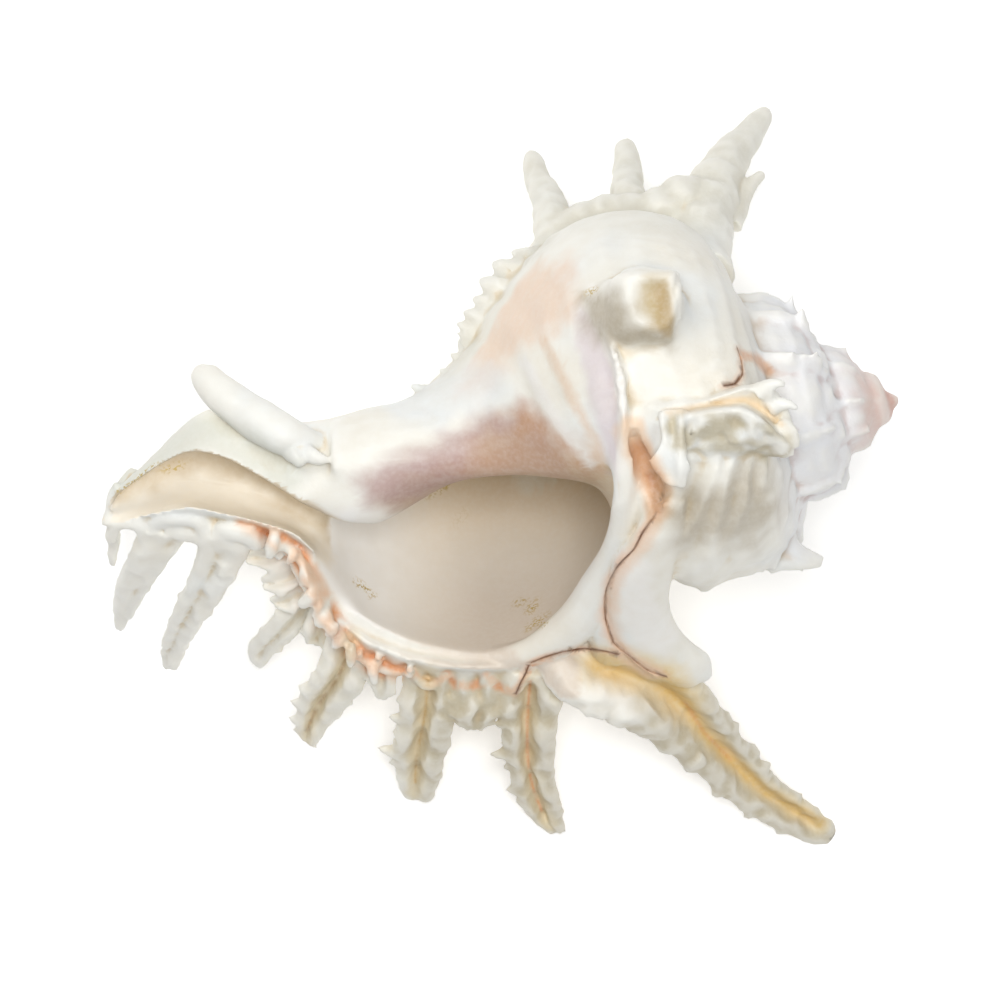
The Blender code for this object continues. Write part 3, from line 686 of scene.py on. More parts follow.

# %% [markdown]
# ## Spines behind, scales and the ends of both canals
# The varix behind the opening has three long spines with a web between them, and a row of small scales
# down to the canal. The canal of the growth stage before stands off as a blunt finger, and the new one
# ends in rounded ridges and arches from which its fronds hang. All are rods along a given path, with
# a rough surface. Only the broken stump that points at the viewer is swept from squared rings.

# %% Spines and small ridges
# Rows: x, y, z and radius.
SPINES = {
    "spine_low": [
        (14.0, 49.0, 36.0, 6.0), (12.6, 57.0, 30.0, 4.8), (11.4, 63.5, 23.0, 3.9), (8.9, 68.6, 15.5, 3.2),
        (7.9, 73.0, 11.5, 2.5), (7.6, 74.8, 10.6, 1.8), (7.6, 75.6, 10.4, 0.8)],
    "spine_middle": [
        (31.0, 52.0, 36.0, 7.0), (30.4, 61.0, 28.0, 4.5), (29.7, 66.0, 21.5, 3.9), (29.8, 70.6, 16.0, 3.5),
        (29.8, 74.4, 12.0, 3.1), (29.4, 77.0, 10.6, 2.4), (29.2, 78.2, 10.2, 1.2)],
    "spine_high": [
        (44.5, 46.0, 40.0, 9.0), (45.6, 52.5, 33.0, 8.0), (47.2, 60.0, 27.0, 7.4), (50.2, 67.2, 20.0, 6.1),
        (53.9, 74.0, 12.0, 4.7), (58.9, 80.2, 5.0, 3.4), (61.8, 84.2, 1.0, 2.5), (62.6, 85.6, -0.4, 1.4)],
    "spinelet_high": [
        (52.0, 59.0, 22.0, 5.0), (56.2, 65.0, 20.0, 2.8), (59.6, 68.6, 18.0, 1.5), (61.2, 70.0, 17.0, 1.2)],
    "spine_web": [
        (14.0, 55.0, 33.0, 4.6), (18.0, 57.4, 32.0, 4.8), (25.0, 59.6, 31.0, 4.9), (33.0, 60.2, 31.0, 4.9),
        (38.0, 61.4, 31.0, 5.2), (43.0, 64.0, 28.0, 5.4), (47.0, 65.0, 23.0, 3.4)],
    "stump_edge": [(38.6, 43.4, 98.0, 1.4), (39.0, 40.0, 104.2, 1.0), (38.9, 34.0, 101.0, 1.2)],
    "frill_corner": [(41.0, -12.0, 71.0, 6.0), (44.4, -20.0, 66.0, 4.2), (46.8, -25.6, 61.0, 1.7)],
    "frill_edge": [(46.0, -22.0, 51.0, 3.4), (54.0, -18.6, 52.0, 3.0), (64.0, -14.0, 54.0, 3.4)],
    "suture_bump": [(38.0, 20.0, 92.0, 6.0), (44.0, 22.0, 94.5, 5.0), (51.0, 24.0, 92.0, 3.6)]}
OLD_CANAL = [
    (-67.4, 24.6, 54.5, 1.2), (-67.0, 22.8, 55.4, 3.2), (-64.2, 19.4, 58.0, 4.1), (-59.2, 15.4, 60.6, 4.6),
    (-53.7, 11.8, 63.0, 4.9), (-48.5, 8.8, 64.6, 4.7), (-43.6, 7.0, 63.0, 3.6), (-39.5, 6.4, 58.0, 2.4)]
FLAKES = [
    [(-46.4, 5.4, 65.0, 2.8), (-45.2, 3.2, 67.6, 2.0), (-44.6, 1.6, 68.0, 1.0)],
    [(-44.6, 5.6, 65.5, 2.4), (-41.4, 3.8, 67.8, 1.8), (-38.6, 3.0, 67.8, 0.9)]]
SPINE_LUMPS = 0.14
for name, route in SPINES.items():
    grown.append(rod(name, route, sides=16, lumps=SPINE_LUMPS))
grown.append(rod("old_canal", OLD_CANAL, sides=20, lumps=0.05))
grown += [rod(f"flake_{number}", route, sides=8, lumps=0.4) for number, route in enumerate(FLAKES)]

# %% Broken stump towards the viewer
# Rows: height, middle x and y, half width, half depth.
STUMP = [
    (82.0, 31.0, 34.0, 10.5, 11.0), (90.0, 31.2, 35.0, 9.8, 10.0), (96.0, 31.6, 36.0, 9.0, 9.2),
    (100.5, 32.2, 37.0, 7.8, 8.4), (103.4, 33.0, 37.6, 6.6, 7.6), (105.0, 33.4, 37.8, 5.6, 6.6),
    (105.3, 33.6, 38.0, 4.4, 5.2), (104.8, 33.8, 38.0, 2.8, 3.4), (104.5, 33.8, 38.0, 1.2, 1.6)]
STUMP_SIDES = 36
STUMP_CORNERS = 0.7
STUMP_ROUGH = 0.16


def stump():
    """Broken base of a frond: a rounded block with a shallow hollow in its top."""
    rings = []
    for height, x, y, half_width, half_depth in smooth_rows(STUMP, 40):
        ring = []
        for side in range(STUMP_SIDES):
            angle = 2.0 * math.pi * side / STUMP_SIDES
            reach = np.array([math.cos(angle), math.sin(angle)])
            reach = np.sign(reach) * np.abs(reach) ** STUMP_CORNERS
            rough = 1.0 + STUMP_ROUGH * noise.noise(Vector((2.5 * reach[0], 2.5 * reach[1], 0.12 * height)))
            ring.append((x + half_width * reach[0] * rough, y + half_depth * reach[1] * rough, height))
        rings.append(ring)
    return sweep("stump", rings)


grown.append(stump())

# %% End of the canal and the arches from which its fronds hang
CANAL_RIDGES = {
    "canal_end": [
        (-86.4, -2.4, 51.0, 1.3), (-88.4, -5.4, 49.4, 1.2), (-89.3, -8.4, 48.0, 1.2),
        (-89.4, -11.6, 47.0, 1.3)],
    "canal_sill": [
        (-82.0, 0.4, 43.6, 3.2), (-86.0, -3.6, 43.4, 3.2), (-88.0, -7.5, 43.4, 2.6),
        (-88.6, -10.6, 44.0, 2.0)],
    "arch_end": [
        (-88.6, -14.6, 42.0, 1.5), (-88.4, -13.2, 44.5, 1.6), (-87.2, -11.6, 46.6, 1.7),
        (-84.7, -11.0, 48.0, 1.8), (-82.0, -11.6, 47.5, 1.9), (-80.6, -14.4, 44.5, 1.8)],
    "arch_first": [
        (-80.2, -15.6, 43.0, 1.6), (-78.6, -11.8, 47.5, 2.0), (-75.6, -9.8, 50.0, 2.4),
        (-71.4, -9.2, 51.4, 2.6), (-68.4, -10.4, 51.0, 2.6), (-66.9, -12.8, 49.4, 2.5),
        (-66.8, -16.4, 45.5, 2.4), (-68.0, -21.0, 39.5, 2.2), (-71.0, -27.0, 31.0, 1.9),
        (-75.0, -33.5, 20.0, 1.5), (-78.0, -40.0, 8.0, 1.1)],
    "arch_web": [(-75.5, -11.5, 47.4, 3.0), (-71.0, -12.2, 48.0, 3.4), (-67.6, -13.4, 47.5, 3.0)],
    "arch_second": [
        (-64.8, -15.6, 46.0, 2.4), (-63.6, -13.4, 49.6, 2.6), (-60.4, -12.4, 52.0, 2.7),
        (-57.0, -13.2, 52.4, 2.8), (-54.6, -15.6, 49.0, 2.4)],
    "canal_keel": [
        (-76.0, -5.4, 41.0, 2.2), (-66.0, -7.0, 41.2, 2.6), (-56.0, -8.4, 41.4, 2.8),
        (-48.0, -11.4, 41.6, 3.0)]}
grown += [rod(name, route, sides=12, lumps=0.2) for name, route in CANAL_RIDGES.items()]

# %% Scales down the varix behind
# Rows: x, y and z of the tip, radius.
SCALES = [
    (8.6, 52.6, 36.0, 1.4), (3.6, 50.6, 41.0, 1.5), (-0.6, 47.6, 45.0, 1.9), (-3.5, 44.0, 47.0, 1.9),
    (-5.1, 39.6, 49.0, 1.5), (-7.2, 36.6, 50.0, 1.5), (-8.8, 33.9, 50.0, 1.3), (-8.7, 31.7, 50.0, 1.0),
    (-8.1, 29.8, 50.0, 1.1), (-10.2, 26.8, 50.0, 1.5), (-12.8, 23.4, 50.0, 1.2), (-19.2, 19.8, 50.0, 1.2)]
SCALE_HEADING = np.array([-0.93, 0.37, 0.0])
SCALE_LENGTH = 6.0
SCALE_OUT = 1.1
SCALE_SWELL = (1.9, 1.25, 0.3)
# Ridges under the scales, rows: steps aside in x and y, radius.
SCALE_RIDGES = [(2.6, -1.0, 1.9), (5.6, -2.2, 2.6)]
SCALES_ON_RIDGE = 9
LIP_ROOT = [(-56.5, -13.2, 46.5, 2.2), (-52.8, -14.8, 46.5, 2.5), (-49.0, -18.0, 45.0, 2.2)]
at_foot, at_middle, at_tip = SCALE_SWELL
for x, y, z, radius in SCALES:
    tip = np.array([x, y, z]) + SCALE_OUT * SCALE_HEADING
    foot = tip - SCALE_HEADING * SCALE_LENGTH - 0.8 * UP
    middle = tip - SCALE_HEADING * 0.4 * SCALE_LENGTH + 0.5 * UP
    route = [(*foot, at_foot * radius), (*middle, at_middle * radius), (*tip, at_tip * radius)]
    grown.append(rod(f"scale_{x}", route, sides=8, lumps=0.5))
for number, (step_x, step_y, radius) in enumerate(SCALE_RIDGES):
    route = [(x + step_x, y + step_y, z, radius) for x, y, z, _ in SCALES[:SCALES_ON_RIDGE]]
    grown.append(rod(f"scale_ridge_{number}", route, sides=12, lumps=0.3))
grown.append(rod("lip_root", LIP_ROOT, sides=12))
print("pieces to grow together:", len(grown))

# %% [markdown]
# ## Fronds of the lip
# A frond is a flattened spine that the lip folded on itself, so a gutter runs down its face and its
# edges are torn into teeth. Its outline is given as pairs of edge points. Between them the face is a low
# dome with a groove in it and the back is rounder, and the teeth push the edges out.

# %% Outline and teeth of each frond
# Rows: left edge x and y, right edge x and y, height z. Teeth: share of the length, reach in mm.
# Groove: place across, half width and depth as shares of the width.
FRONDS = {
    "canal_leaf": {
        "rows": [
            (-89.4, -9.0, -86.6, -9.0, 46.0), (-89.8, -14.5, -87.2, -15.0, 37.0),
            (-89.8, -21.0, -88.8, -21.4, 30.0)],
        "left": [], "right": [], "groove": (0.0, 0.1, 0.0)},
    "canal_first": {
        "rows": [
            (-81.4, -11.0, -69.0, -11.0, 46.5), (-84.2, -17.5, -75.4, -19.0, 38.5),
            (-88.2, -25.0, -82.0, -27.6, 25.0), (-89.6, -32.0, -86.4, -34.0, 12.0),
            (-89.4, -35.8, -88.2, -36.2, 8.0)],
        "left": [], "right": [(0.55, 0.5)], "groove": (0.16, 0.2, 0.16), "crest": 0.34},
    "canal_second": {
        "rows": [
            (-67.0, -12.0, -55.0, -13.5, 49.0), (-69.4, -20.5, -61.6, -25.0, 38.0),
            (-75.4, -32.0, -69.8, -35.4, 19.0), (-79.0, -41.0, -74.8, -43.4, 3.5),
            (-78.6, -45.4, -75.8, -46.2, -1.2)],
        "left": [(0.5, 0.8), (0.68, 0.7)], "right": [(0.5, 0.6)],
        "groove": (-0.12, 0.18, 0.22), "crest": 0.3},
    "curl_top": {
        "rows": [
            (-45.5, -13.4, -44.6, -19.4, 39.5), (-53.8, -16.2, -52.2, -21.6, 40.0),
            (-58.4, -18.2, -58.0, -20.2, 38.0)],
        "left": [(0.8, 0.8)], "right": [(0.6, 1.0)], "groove": (0.0, 0.2, 0.34)},
    "curl_middle": {
        "rows": [
            (-44.5, -18.6, -42.0, -23.0, 39.0), (-51.5, -22.2, -49.4, -27.0, 39.5),
            (-54.8, -24.0, -54.0, -26.4, 37.5)],
        "left": [(0.7, 0.9)], "right": [(0.75, 1.0)], "groove": (0.0, 0.2, 0.34)},
    "curl_low": {
        "rows": [
            (-43.0, -22.4, -40.4, -27.4, 38.0), (-49.4, -26.6, -47.4, -31.0, 37.5),
            (-52.6, -28.6, -51.4, -30.6, 35.5)],
        "left": [(0.7, 0.7)], "right": [(0.7, 0.9)], "groove": (0.0, 0.2, 0.3)},
    "curled_spine": {
        "rows": [
            (-45.0, -26.0, -38.6, -29.0, 36.0), (-52.2, -33.0, -45.7, -36.0, 29.0),
            (-57.4, -38.6, -51.6, -41.0, 19.0), (-58.0, -42.6, -54.6, -44.0, 13.0),
            (-56.4, -44.8, -55.6, -45.0, 11.0)],
        "left": [(0.3, 0.8)], "right": [(0.7, 0.6)], "groove": (0.05, 0.1, 0.25)},
    "curled_leaf": {
        "rows": [
            (-41.0, -27.0, -35.4, -30.4, 37.0), (-44.6, -34.0, -35.4, -36.4, 34.0),
            (-44.4, -38.6, -39.0, -40.2, 30.0)],
        "left": [(0.8, 1.2)], "right": [(0.6, 1.0), (0.85, 1.2)],
        "groove": (-0.1, 0.14, 0.3), "ruffles": 0.2},
    "double": {
        "rows": [
            (-38.0, -31.0, -26.0, -38.5, 37.5), (-41.4, -44.0, -31.4, -48.4, 31.0),
            (-46.2, -52.0, -37.2, -55.4, 20.0), (-47.2, -60.0, -42.6, -62.0, 9.0),
            (-44.2, -63.6, -43.0, -64.0, 6.0)],
        "left": [(0.4, 1.0), (0.52, 1.6), (0.66, 1.6), (0.8, 1.4), (0.9, 1.0)], "right": [(0.5, 0.6)],
        "groove": (-0.04, 0.12, 0.38), "rims": (0.03, 5.4), "ruffles": 0.12},
    "double_side": {
        "rows": [
            (-30.0, -41.0, -23.0, -43.0, 37.0), (-29.6, -47.6, -24.6, -49.6, 34.0),
            (-28.0, -51.6, -26.6, -51.8, 31.0)],
        "left": [(0.6, 1.2)], "right": [(0.7, 1.0)], "groove": (0.0, 0.14, 0.2)},
    "broad": {
        "rows": [
            (-21.5, -41.0, -9.5, -44.0, 37.0), (-22.6, -54.0, -10.8, -57.0, 29.0),
            (-24.4, -64.6, -13.2, -67.0, 16.0), (-23.0, -73.0, -15.8, -75.2, 5.0),
            (-21.0, -76.0, -17.6, -76.4, 2.2)],
        "left": [(0.28, 1.0), (0.4, 2.2), (0.5, 0.9), (0.64, 3.2), (0.74, 1.0)],
        "right": [(0.5, 0.5), (0.75, 0.6)],
        "groove": (-0.04, 0.15, 0.34), "rims": (0.02, 8.5), "ruffles": 0.14},
    "short": {
        "rows": [
            (-11.0, -44.0, 0.0, -44.5, 38.0), (-10.2, -54.0, -0.4, -54.6, 33.0),
            (-7.4, -58.6, -4.2, -58.8, 29.0)],
        "left": [(0.5, 1.2), (0.72, 1.8), (0.9, 1.6)], "right": [(0.45, 1.0), (0.68, 1.6), (0.88, 1.6)],
        "groove": (0.1, 0.12, 0.24), "ruffles": 0.2},
    "long_thin": {
        "rows": [
            (-0.5, -44.0, 16.5, -44.0, 38.5), (0.8, -58.0, 13.2, -57.0, 29.0),
            (2.4, -69.0, 12.4, -69.0, 17.0), (6.6, -79.0, 14.4, -79.4, 6.5),
            (12.4, -84.0, 15.2, -83.6, 3.0)],
        "left": [(0.3, 1.4), (0.48, 3.0), (0.58, 1.2), (0.72, 2.0), (0.8, 0.8)], "right": [(0.85, 0.8)],
        "groove": (-0.04, 0.14, 0.36), "rims": (0.02, 8.0), "ruffles": 0.14},
    "shoulder": {
        "rows": [
            (8.0, -42.0, 20.0, -36.0, 41.0), (14.0, -51.0, 32.5, -41.0, 42.5),
            (27.0, -56.8, 45.0, -46.5, 36.0), (41.6, -65.6, 54.0, -58.0, 23.0),
            (55.4, -77.0, 64.6, -71.0, 10.5), (70.4, -85.2, 77.0, -80.6, 1.6),
            (76.8, -86.8, 79.6, -84.8, -1.0)],
        "left": [(0.56, 1.2), (0.67, 1.6), (0.78, 1.4), (0.88, 1.0)],
        "right": [(0.52, 1.2), (0.68, 1.4), (0.82, 1.0)],
        "groove": (0.09, 0.17, 0.3), "rims": (0.08, 9.0), "ruffles": 0.06},
    "spire_spine": {
        "rows": [
            (65.4, -4.0, 55.0, -14.0, 58.0), (66.4, -9.8, 59.6, -20.6, 57.0),
            (68.0, -15.6, 66.0, -21.6, 56.0), (73.6, -19.0, 73.0, -21.0, 55.0)],
        "left": [], "right": [(0.3, 1.0), (0.5, 0.8)], "groove": (0.1, 0.12, 0.12)},
    "tongue": {
        "rows": [
            (34.4, -5.0, 41.0, -5.6, 94.5), (30.6, -12.6, 40.6, -13.0, 88.0),
            (25.6, -20.4, 38.8, -20.4, 77.0), (24.6, -29.0, 38.0, -28.6, 64.0),
            (25.8, -35.5, 40.0, -34.3, 54.5), (29.6, -41.2, 43.4, -38.4, 48.0),
            (35.4, -45.8, 47.6, -41.6, 44.0), (40.4, -47.6, 48.4, -45.4, 41.0)],
        "left": [], "right": [], "groove": (0.0, 0.1, 0.0), "ruffles": 0.03, "crest": 0.34},
    "ledge_tongue": {
        "rows": [
            (35.0, 13.4, 41.0, 13.9, 103.0), (35.8, 7.0, 40.6, 7.6, 105.0), (33.8, 1.6, 41.2, 1.0, 104.0),
            (36.8, -3.0, 40.6, -3.4, 101.5)],
        "left": [(0.5, 0.9), (0.64, 1.6), (0.78, 0.9)], "right": [(0.7, 0.5)],
        "groove": (-0.05, 0.24, 0.34),
        "ruffles": 0.12, "crest": 0.3}}

# %% Model the fronds
FROND_SPACING = 0.7
FROND_ALLOWANCE = 0.8
RUFFLE_PITCH = 0.17
CREST = 0.2
BELLY = 0.32
RIM_PLACE = 0.68
RIM_WIDTH = 0.24
SCALLOP_REACH = 0.5
TOOTH_HALF = 1.5
FACE_POINTS = 22
BACK_POINTS = 12
TOOTH_GAIN = 1.4


def teeth_reach(teeth, passed, length):
    """How far an edge is pushed out at a distance from the root: each tooth is steep on its tip side."""
    reach = 0.0
    for share, size in teeth:
        ahead = passed - share * length
        width = TOOTH_HALF * (0.6 if ahead > 0.0 else 1.4)
        reach = max(reach, TOOTH_GAIN * size * (1.0 - abs(ahead) / width))
    return reach


def scallop(passed, spacing, seed):
    """Overlapping scales along an edge: each rises slowly and drops off quickly, 0 to 1."""
    phase = passed / spacing + 0.5 * noise.noise(Vector((0.2 * passed, seed, 0.0)))
    share = phase - math.floor(phase)
    tall = 0.65 + 0.7 * noise.noise(Vector((7.3 * math.floor(phase), seed, 4.0)))
    return tall * min(share / 0.8, (1.0 - share) / 0.2)


def frond(name, rows, left, right, groove, ruffles=0.12, crest=CREST, rims=(0.0, 6.0)):
    """Flattened spine with a grooved face and torn edges, through pairs of edge points."""
    rows = np.array(rows)
    middles = np.column_stack([(rows[:, 0] + rows[:, 2]) / 2.0, (rows[:, 1] + rows[:, 3]) / 2.0, rows[:, 4]])
    length = float(np.linalg.norm(np.diff(middles, axis=0), axis=1).sum())
    rows = smooth_rows(rows, int(length / FROND_SPACING))
    middles = np.column_stack([(rows[:, 0] + rows[:, 2]) / 2.0, (rows[:, 1] + rows[:, 3]) / 2.0, rows[:, 4]])
    place, half_width, depth = groove
    rings = []
    for index, row in enumerate(rows):
        share = index / (len(rows) - 1)
        width = np.array([row[2] - row[0], row[3] - row[1], 0.0])
        span = np.linalg.norm(width)
        across = width / span
        span += FROND_ALLOWANCE
        normal = np.cross(width, heading(middles, index))
        normal *= (1.0 if normal[2] > 0.0 else -1.0) / np.linalg.norm(normal)
        passed = share * length
        scales = (scallop(passed, rims[1], 1.0), scallop(passed + 0.5 * rims[1], rims[1], 9.0))
        bulge = SCALLOP_REACH if rims[0] else 0.0
        reach_left = max(teeth_reach(left, passed, length), bulge * scales[0])
        reach_right = max(teeth_reach(right, passed, length), bulge * scales[1])
        deep = depth * min(share / 0.15, 1.0) * min((1.0 - share) / 0.12, 1.0)
        ring = []
        for step in np.linspace(-1.0, 1.0, FACE_POINTS):
            dome = math.sqrt(max(1.0 - step * step, 0.0))
            ruffle = ruffles * noise.noise(Vector((passed * RUFFLE_PITCH, 1.8 * step, len(rows)))) * dome
            dip = deep * math.exp(-((step / 2.0 - place) / half_width) ** 2)
            side = step / 2.0 * span + (reach_right if step > 0.0 else -reach_left) * step * step * abs(step)
            rim = rims[0] * (0.4 + 0.6 * scales[int(step > 0.0)]) * min(8.0 * (1.0 - share), 1.0)
            rim *= math.exp(-((abs(step) - RIM_PLACE) / RIM_WIDTH) ** 2)
            ring.append(middles[index] + side * across + (crest * dome + ruffle + rim - dip) * span * normal)
        for step in np.linspace(1.0, -1.0, BACK_POINTS + 2)[1:-1]:
            dome = math.sqrt(1.0 - step * step)
            ring.append(middles[index] + step / 2.0 * span * across - BELLY * dome * span * normal)
        rings.append(ring)
    return sweep(name, rings)


def groove_line(rows, groove, **_):
    """Where a frond's groove runs, seen from above."""
    rows = smooth_rows(rows, 14)
    share = 0.5 + groove[0]
    return [tuple(row[:2] + share * (row[2:4] - row[:2])) for row in rows[1:-1]]


for name, shape in FRONDS.items():
    grown.append(frond(name, **shape))
print("fronds:", len(FRONDS))

# %% [markdown]
# ## Edges round the opening
# The inner lip ends in a thin raised flange that is laid on the whorl before. A web and a rounded edge
# lead from it down to the outer lip. Curled beads sit in the notches between the lip's folds.

# %% Flange, lip end and ledge root
# Rows: x, y, rise over the whorl, thickness.
FLANGE = [
    (20.3, 41.0, 1.0, 1.4), (20.8, 36.0, 2.4, 1.6), (24.2, 29.0, 3.2, 2.0), (26.4, 22.6, 3.6, 2.2),
    (27.2, 15.0, 3.8, 2.8), (27.4, 8.0, 3.8, 3.4), (27.0, 1.0, 3.4, 3.6)]
FLANGE_FOOT = 3.0
FLANGE_WAVER = 0.5
FLANGE_TEAR = 0.35
# Rods, rows: x, y, z and radius.
LIP_END = [
    (27.4, 4.0, 96.0, 3.2), (27.4, -3.5, 91.0, 3.2), (28.0, -10.0, 83.5, 3.4), (26.2, -17.5, 73.0, 3.6),
    (22.6, -25.5, 61.0, 4.6), (18.6, -32.5, 52.0, 5.0), (12.6, -37.6, 46.0, 4.4), (6.0, -40.8, 41.5, 3.4),
    (-1.0, -42.0, 38.6, 2.4)]
LIP_WEB = [(29.0, -20.0, 66.0, 5.5), (27.0, -31.0, 53.0, 7.0), (26.0, -40.0, 43.0, 5.5)]
LEDGE_ROOT = [
    (33.0, 9.5, 95.0, 4.0), (42.0, 9.0, 96.5, 5.0), (52.0, 9.0, 95.0, 5.4), (61.0, 9.5, 90.0, 4.0)]


def flange():
    """Thin raised edge of the inner lip, laid on the whorl."""
    rows = smooth_rows(FLANGE, 60)
    route = rows[:, :3] * (1.0, 1.0, 0.0)
    rings = []
    for index, (x, y, rise, thickness) in enumerate(rows):
        hit = np.array(BODY_TREE.ray_cast(Vector((x, y, 150.0)), Vector((0.0, 0.0, -1.0)))[0])
        direction = heading(route, index)
        sideways = np.array((direction[1], -direction[0], 0.0)) * thickness / 2.0
        sideways *= 1.0 + FLANGE_WAVER * noise.noise(Vector((x, y, 3.0)) * 0.5)
        ragged = rise * (1.0 + FLANGE_TEAR * noise.noise(Vector((x, y, 0.0)) * 0.6))
        foot = hit - FLANGE_FOOT * UP
        top = hit + ragged * UP
        rings.append([foot - sideways, foot + sideways, top + 0.7 * sideways, top - 0.7 * sideways])
    return sweep("flange", rings)


grown += [flange(), rod("lip_end", LIP_END), rod("lip_web", LIP_WEB)]
grown.append(rod("ledge_root", LEDGE_ROOT, sides=16, lumps=0.1))

# %% The folded ledge over the shoulder
# Rows: x, then y and z of the back edge, trough, crest and outer foot.
LEDGE = [
    (34.0, 13.0, 100.0, 12.0, 100.5, 10.4, 102.5, 3.0, 97.0),
    (37.1, 13.5, 101.0, 12.4, 100.4, 10.6, 104.0, 2.6, 96.0),
    (41.9, 15.0, 101.6, 14.2, 100.4, 12.6, 105.0, 2.2, 95.5),
    (46.3, 16.2, 102.0, 14.9, 100.2, 13.3, 105.4, 2.2, 95.0),
    (50.7, 17.6, 102.4, 15.4, 100.0, 13.7, 105.4, 2.6, 94.5),
    (54.0, 18.6, 102.6, 15.5, 99.6, 13.5, 105.0, 3.2, 94.0),
    (57.3, 18.4, 102.2, 13.9, 98.6, 11.6, 104.0, 3.8, 93.0),
    (60.6, 17.4, 101.0, 11.0, 97.6, 8.8, 102.5, 3.6, 92.0),
    (63.2, 14.6, 99.0, 8.6, 96.4, 6.4, 100.6, 3.8, 91.0),
    (65.0, 10.0, 96.0, 7.4, 95.4, 5.6, 98.0, 4.4, 91.0)]
LEDGE_POINTS = 60
LEDGE_CURLS = [
    [(57.0, 17.6, 100.5, 2.4), (60.4, 19.8, 102.5, 1.4), (62.8, 19.4, 103.0, 0.6)],
    [(60.0, 15.0, 99.0, 2.4), (63.2, 15.2, 101.0, 1.4), (65.6, 14.2, 101.5, 0.6)],
    [(62.0, 10.0, 97.0, 2.8), (64.2, 8.4, 98.5, 2.0), (65.2, 5.6, 98.0, 1.0)],
    [(58.4, 15.6, 99.0, 1.4), (59.8, 17.0, 101.6, 0.9), (59.2, 18.4, 102.8, 0.5)]]


def ledge():
    """Folded frond that stands over the shoulder: back edge, trough, lumpy front wall."""
    rings = []
    for index, row in enumerate(smooth_rows(LEDGE, LEDGE_POINTS)):
        x, points = row[0], row[1:].reshape(-1, 2)
        points = points + [[0.0, 0.5 * noise.noise(Vector((0.4 * x, number, 0.0)))] for number in range(4)]
        back, trough, crest, foot = points
        wall = [crest + (foot - crest) * share for share in (0.2, 0.45, 0.7)]
        bulges = [1.3 + 2.4 * noise.noise(Vector((0.3 * x, 2.3 * number, 7.0))) for number in range(3)]
        wall = [
            point + np.array([-bulge, 0.6 * bulge]) * swell
            for point, bulge, swell in zip(wall, bulges, (0.6, 1.0, 0.7))]
        outline = [back + (1.0, -3.0), back, (back + trough) / 2.0 + (0.0, -0.6), trough]
        outline += [crest + (0.7, -0.8), crest, *wall, foot, foot + (4.0, -5.0), back + (0.0, -8.0)]
        rings.append([(x, y, z) for y, z in outline])
    return sweep("ledge", rings)


grown.append(ledge())
grown += [rod(f"ledge_curl_{number}", route, sides=10, lumps=0.3) for number, route in enumerate(LEDGE_CURLS)]

# %% Beads, cord and hooks along the lip
BEAD_PLACES = (0.62, 0.9)
BEAD_RADIUS = 1.1


def bead(name, place):
    """Small curled fold that starts in a notch of the lip and runs over its outer side."""
    route = [
        (*whorl_point(LIP_TURN - 1.0, place, 0.0), 0.5),
        (*whorl_point(LIP_TURN - 1.5, place, 1.8), BEAD_RADIUS),
        (*whorl_point(LIP_TURN - 4.0, place + 0.004, 3.4), BEAD_RADIUS),
        (*whorl_point(LIP_TURN - 8.0, place + 0.008, 2.4), 0.6)]
    return rod(name, route, sides=10)


LIP_FOLDS = [
    (-63.4, -11.5, 52.0), (-57.0, -10.6, 54.0), (-51.3, -13.6, 54.0), (-46.7, -17.6, 52.6),
    (-43.6, -22.0, 50.4), (-40.9, -27.4, 48.6), (-38.4, -33.5, 46.8), (-34.6, -38.9, 42.8),
    (-29.9, -43.0, 39.6), (-23.9, -45.2, 37.0), (-20.4, -45.0, 36.6), (-18.6, -47.2, 35.6),
    (-15.9, -48.4, 35.2), (-13.2, -47.0, 35.8), (-12.0, -46.0, 36.2), (-9.8, -48.2, 35.4),
    (-6.4, -48.6, 35.4), (-3.8, -47.8, 36.0), (-3.0, -46.2, 36.8), (-0.6, -48.6, 36.0), (3.0, -49.8, 36.4),
    (5.2, -47.6, 38.4), (6.6, -44.2, 40.4), (8.6, -42.6, 42.0), (11.4, -42.0, 43.0)]
CORD_FROM = 2
CORD_RADIUS = 1.25
cord_route = [(*row, CORD_RADIUS) for row in smooth_rows(LIP_FOLDS[CORD_FROM:], 110)]
grown.append(rod("lip_cord", cord_route, sides=10, lumps=0.6))
notches = [number / BAND_FOLDS for number in range(1, int(BAND_FOLDS))]
notches = [place for place in notches if BEAD_PLACES[0] < place < BEAD_PLACES[1]]
grown += [bead(f"bead_{place:.2f}", place) for place in notches]
HOOKS = [(-12.0, -46.0, 37.6), (-3.0, -46.2, 38.2), (6.4, -44.2, 41.6)]
for x, y, z in HOOKS:
    grown.append(rod(f"hook_{x}", [
        (x - 0.8, y - 2.2, z - 1.6, 0.9), (x - 0.4, y - 0.2, z + 0.2, 1.1),
        (x + 0.8, y + 0.6, z + 0.4, 1.0),
        (x + 1.8, y - 0.8, z - 0.6, 0.6)], sides=10))

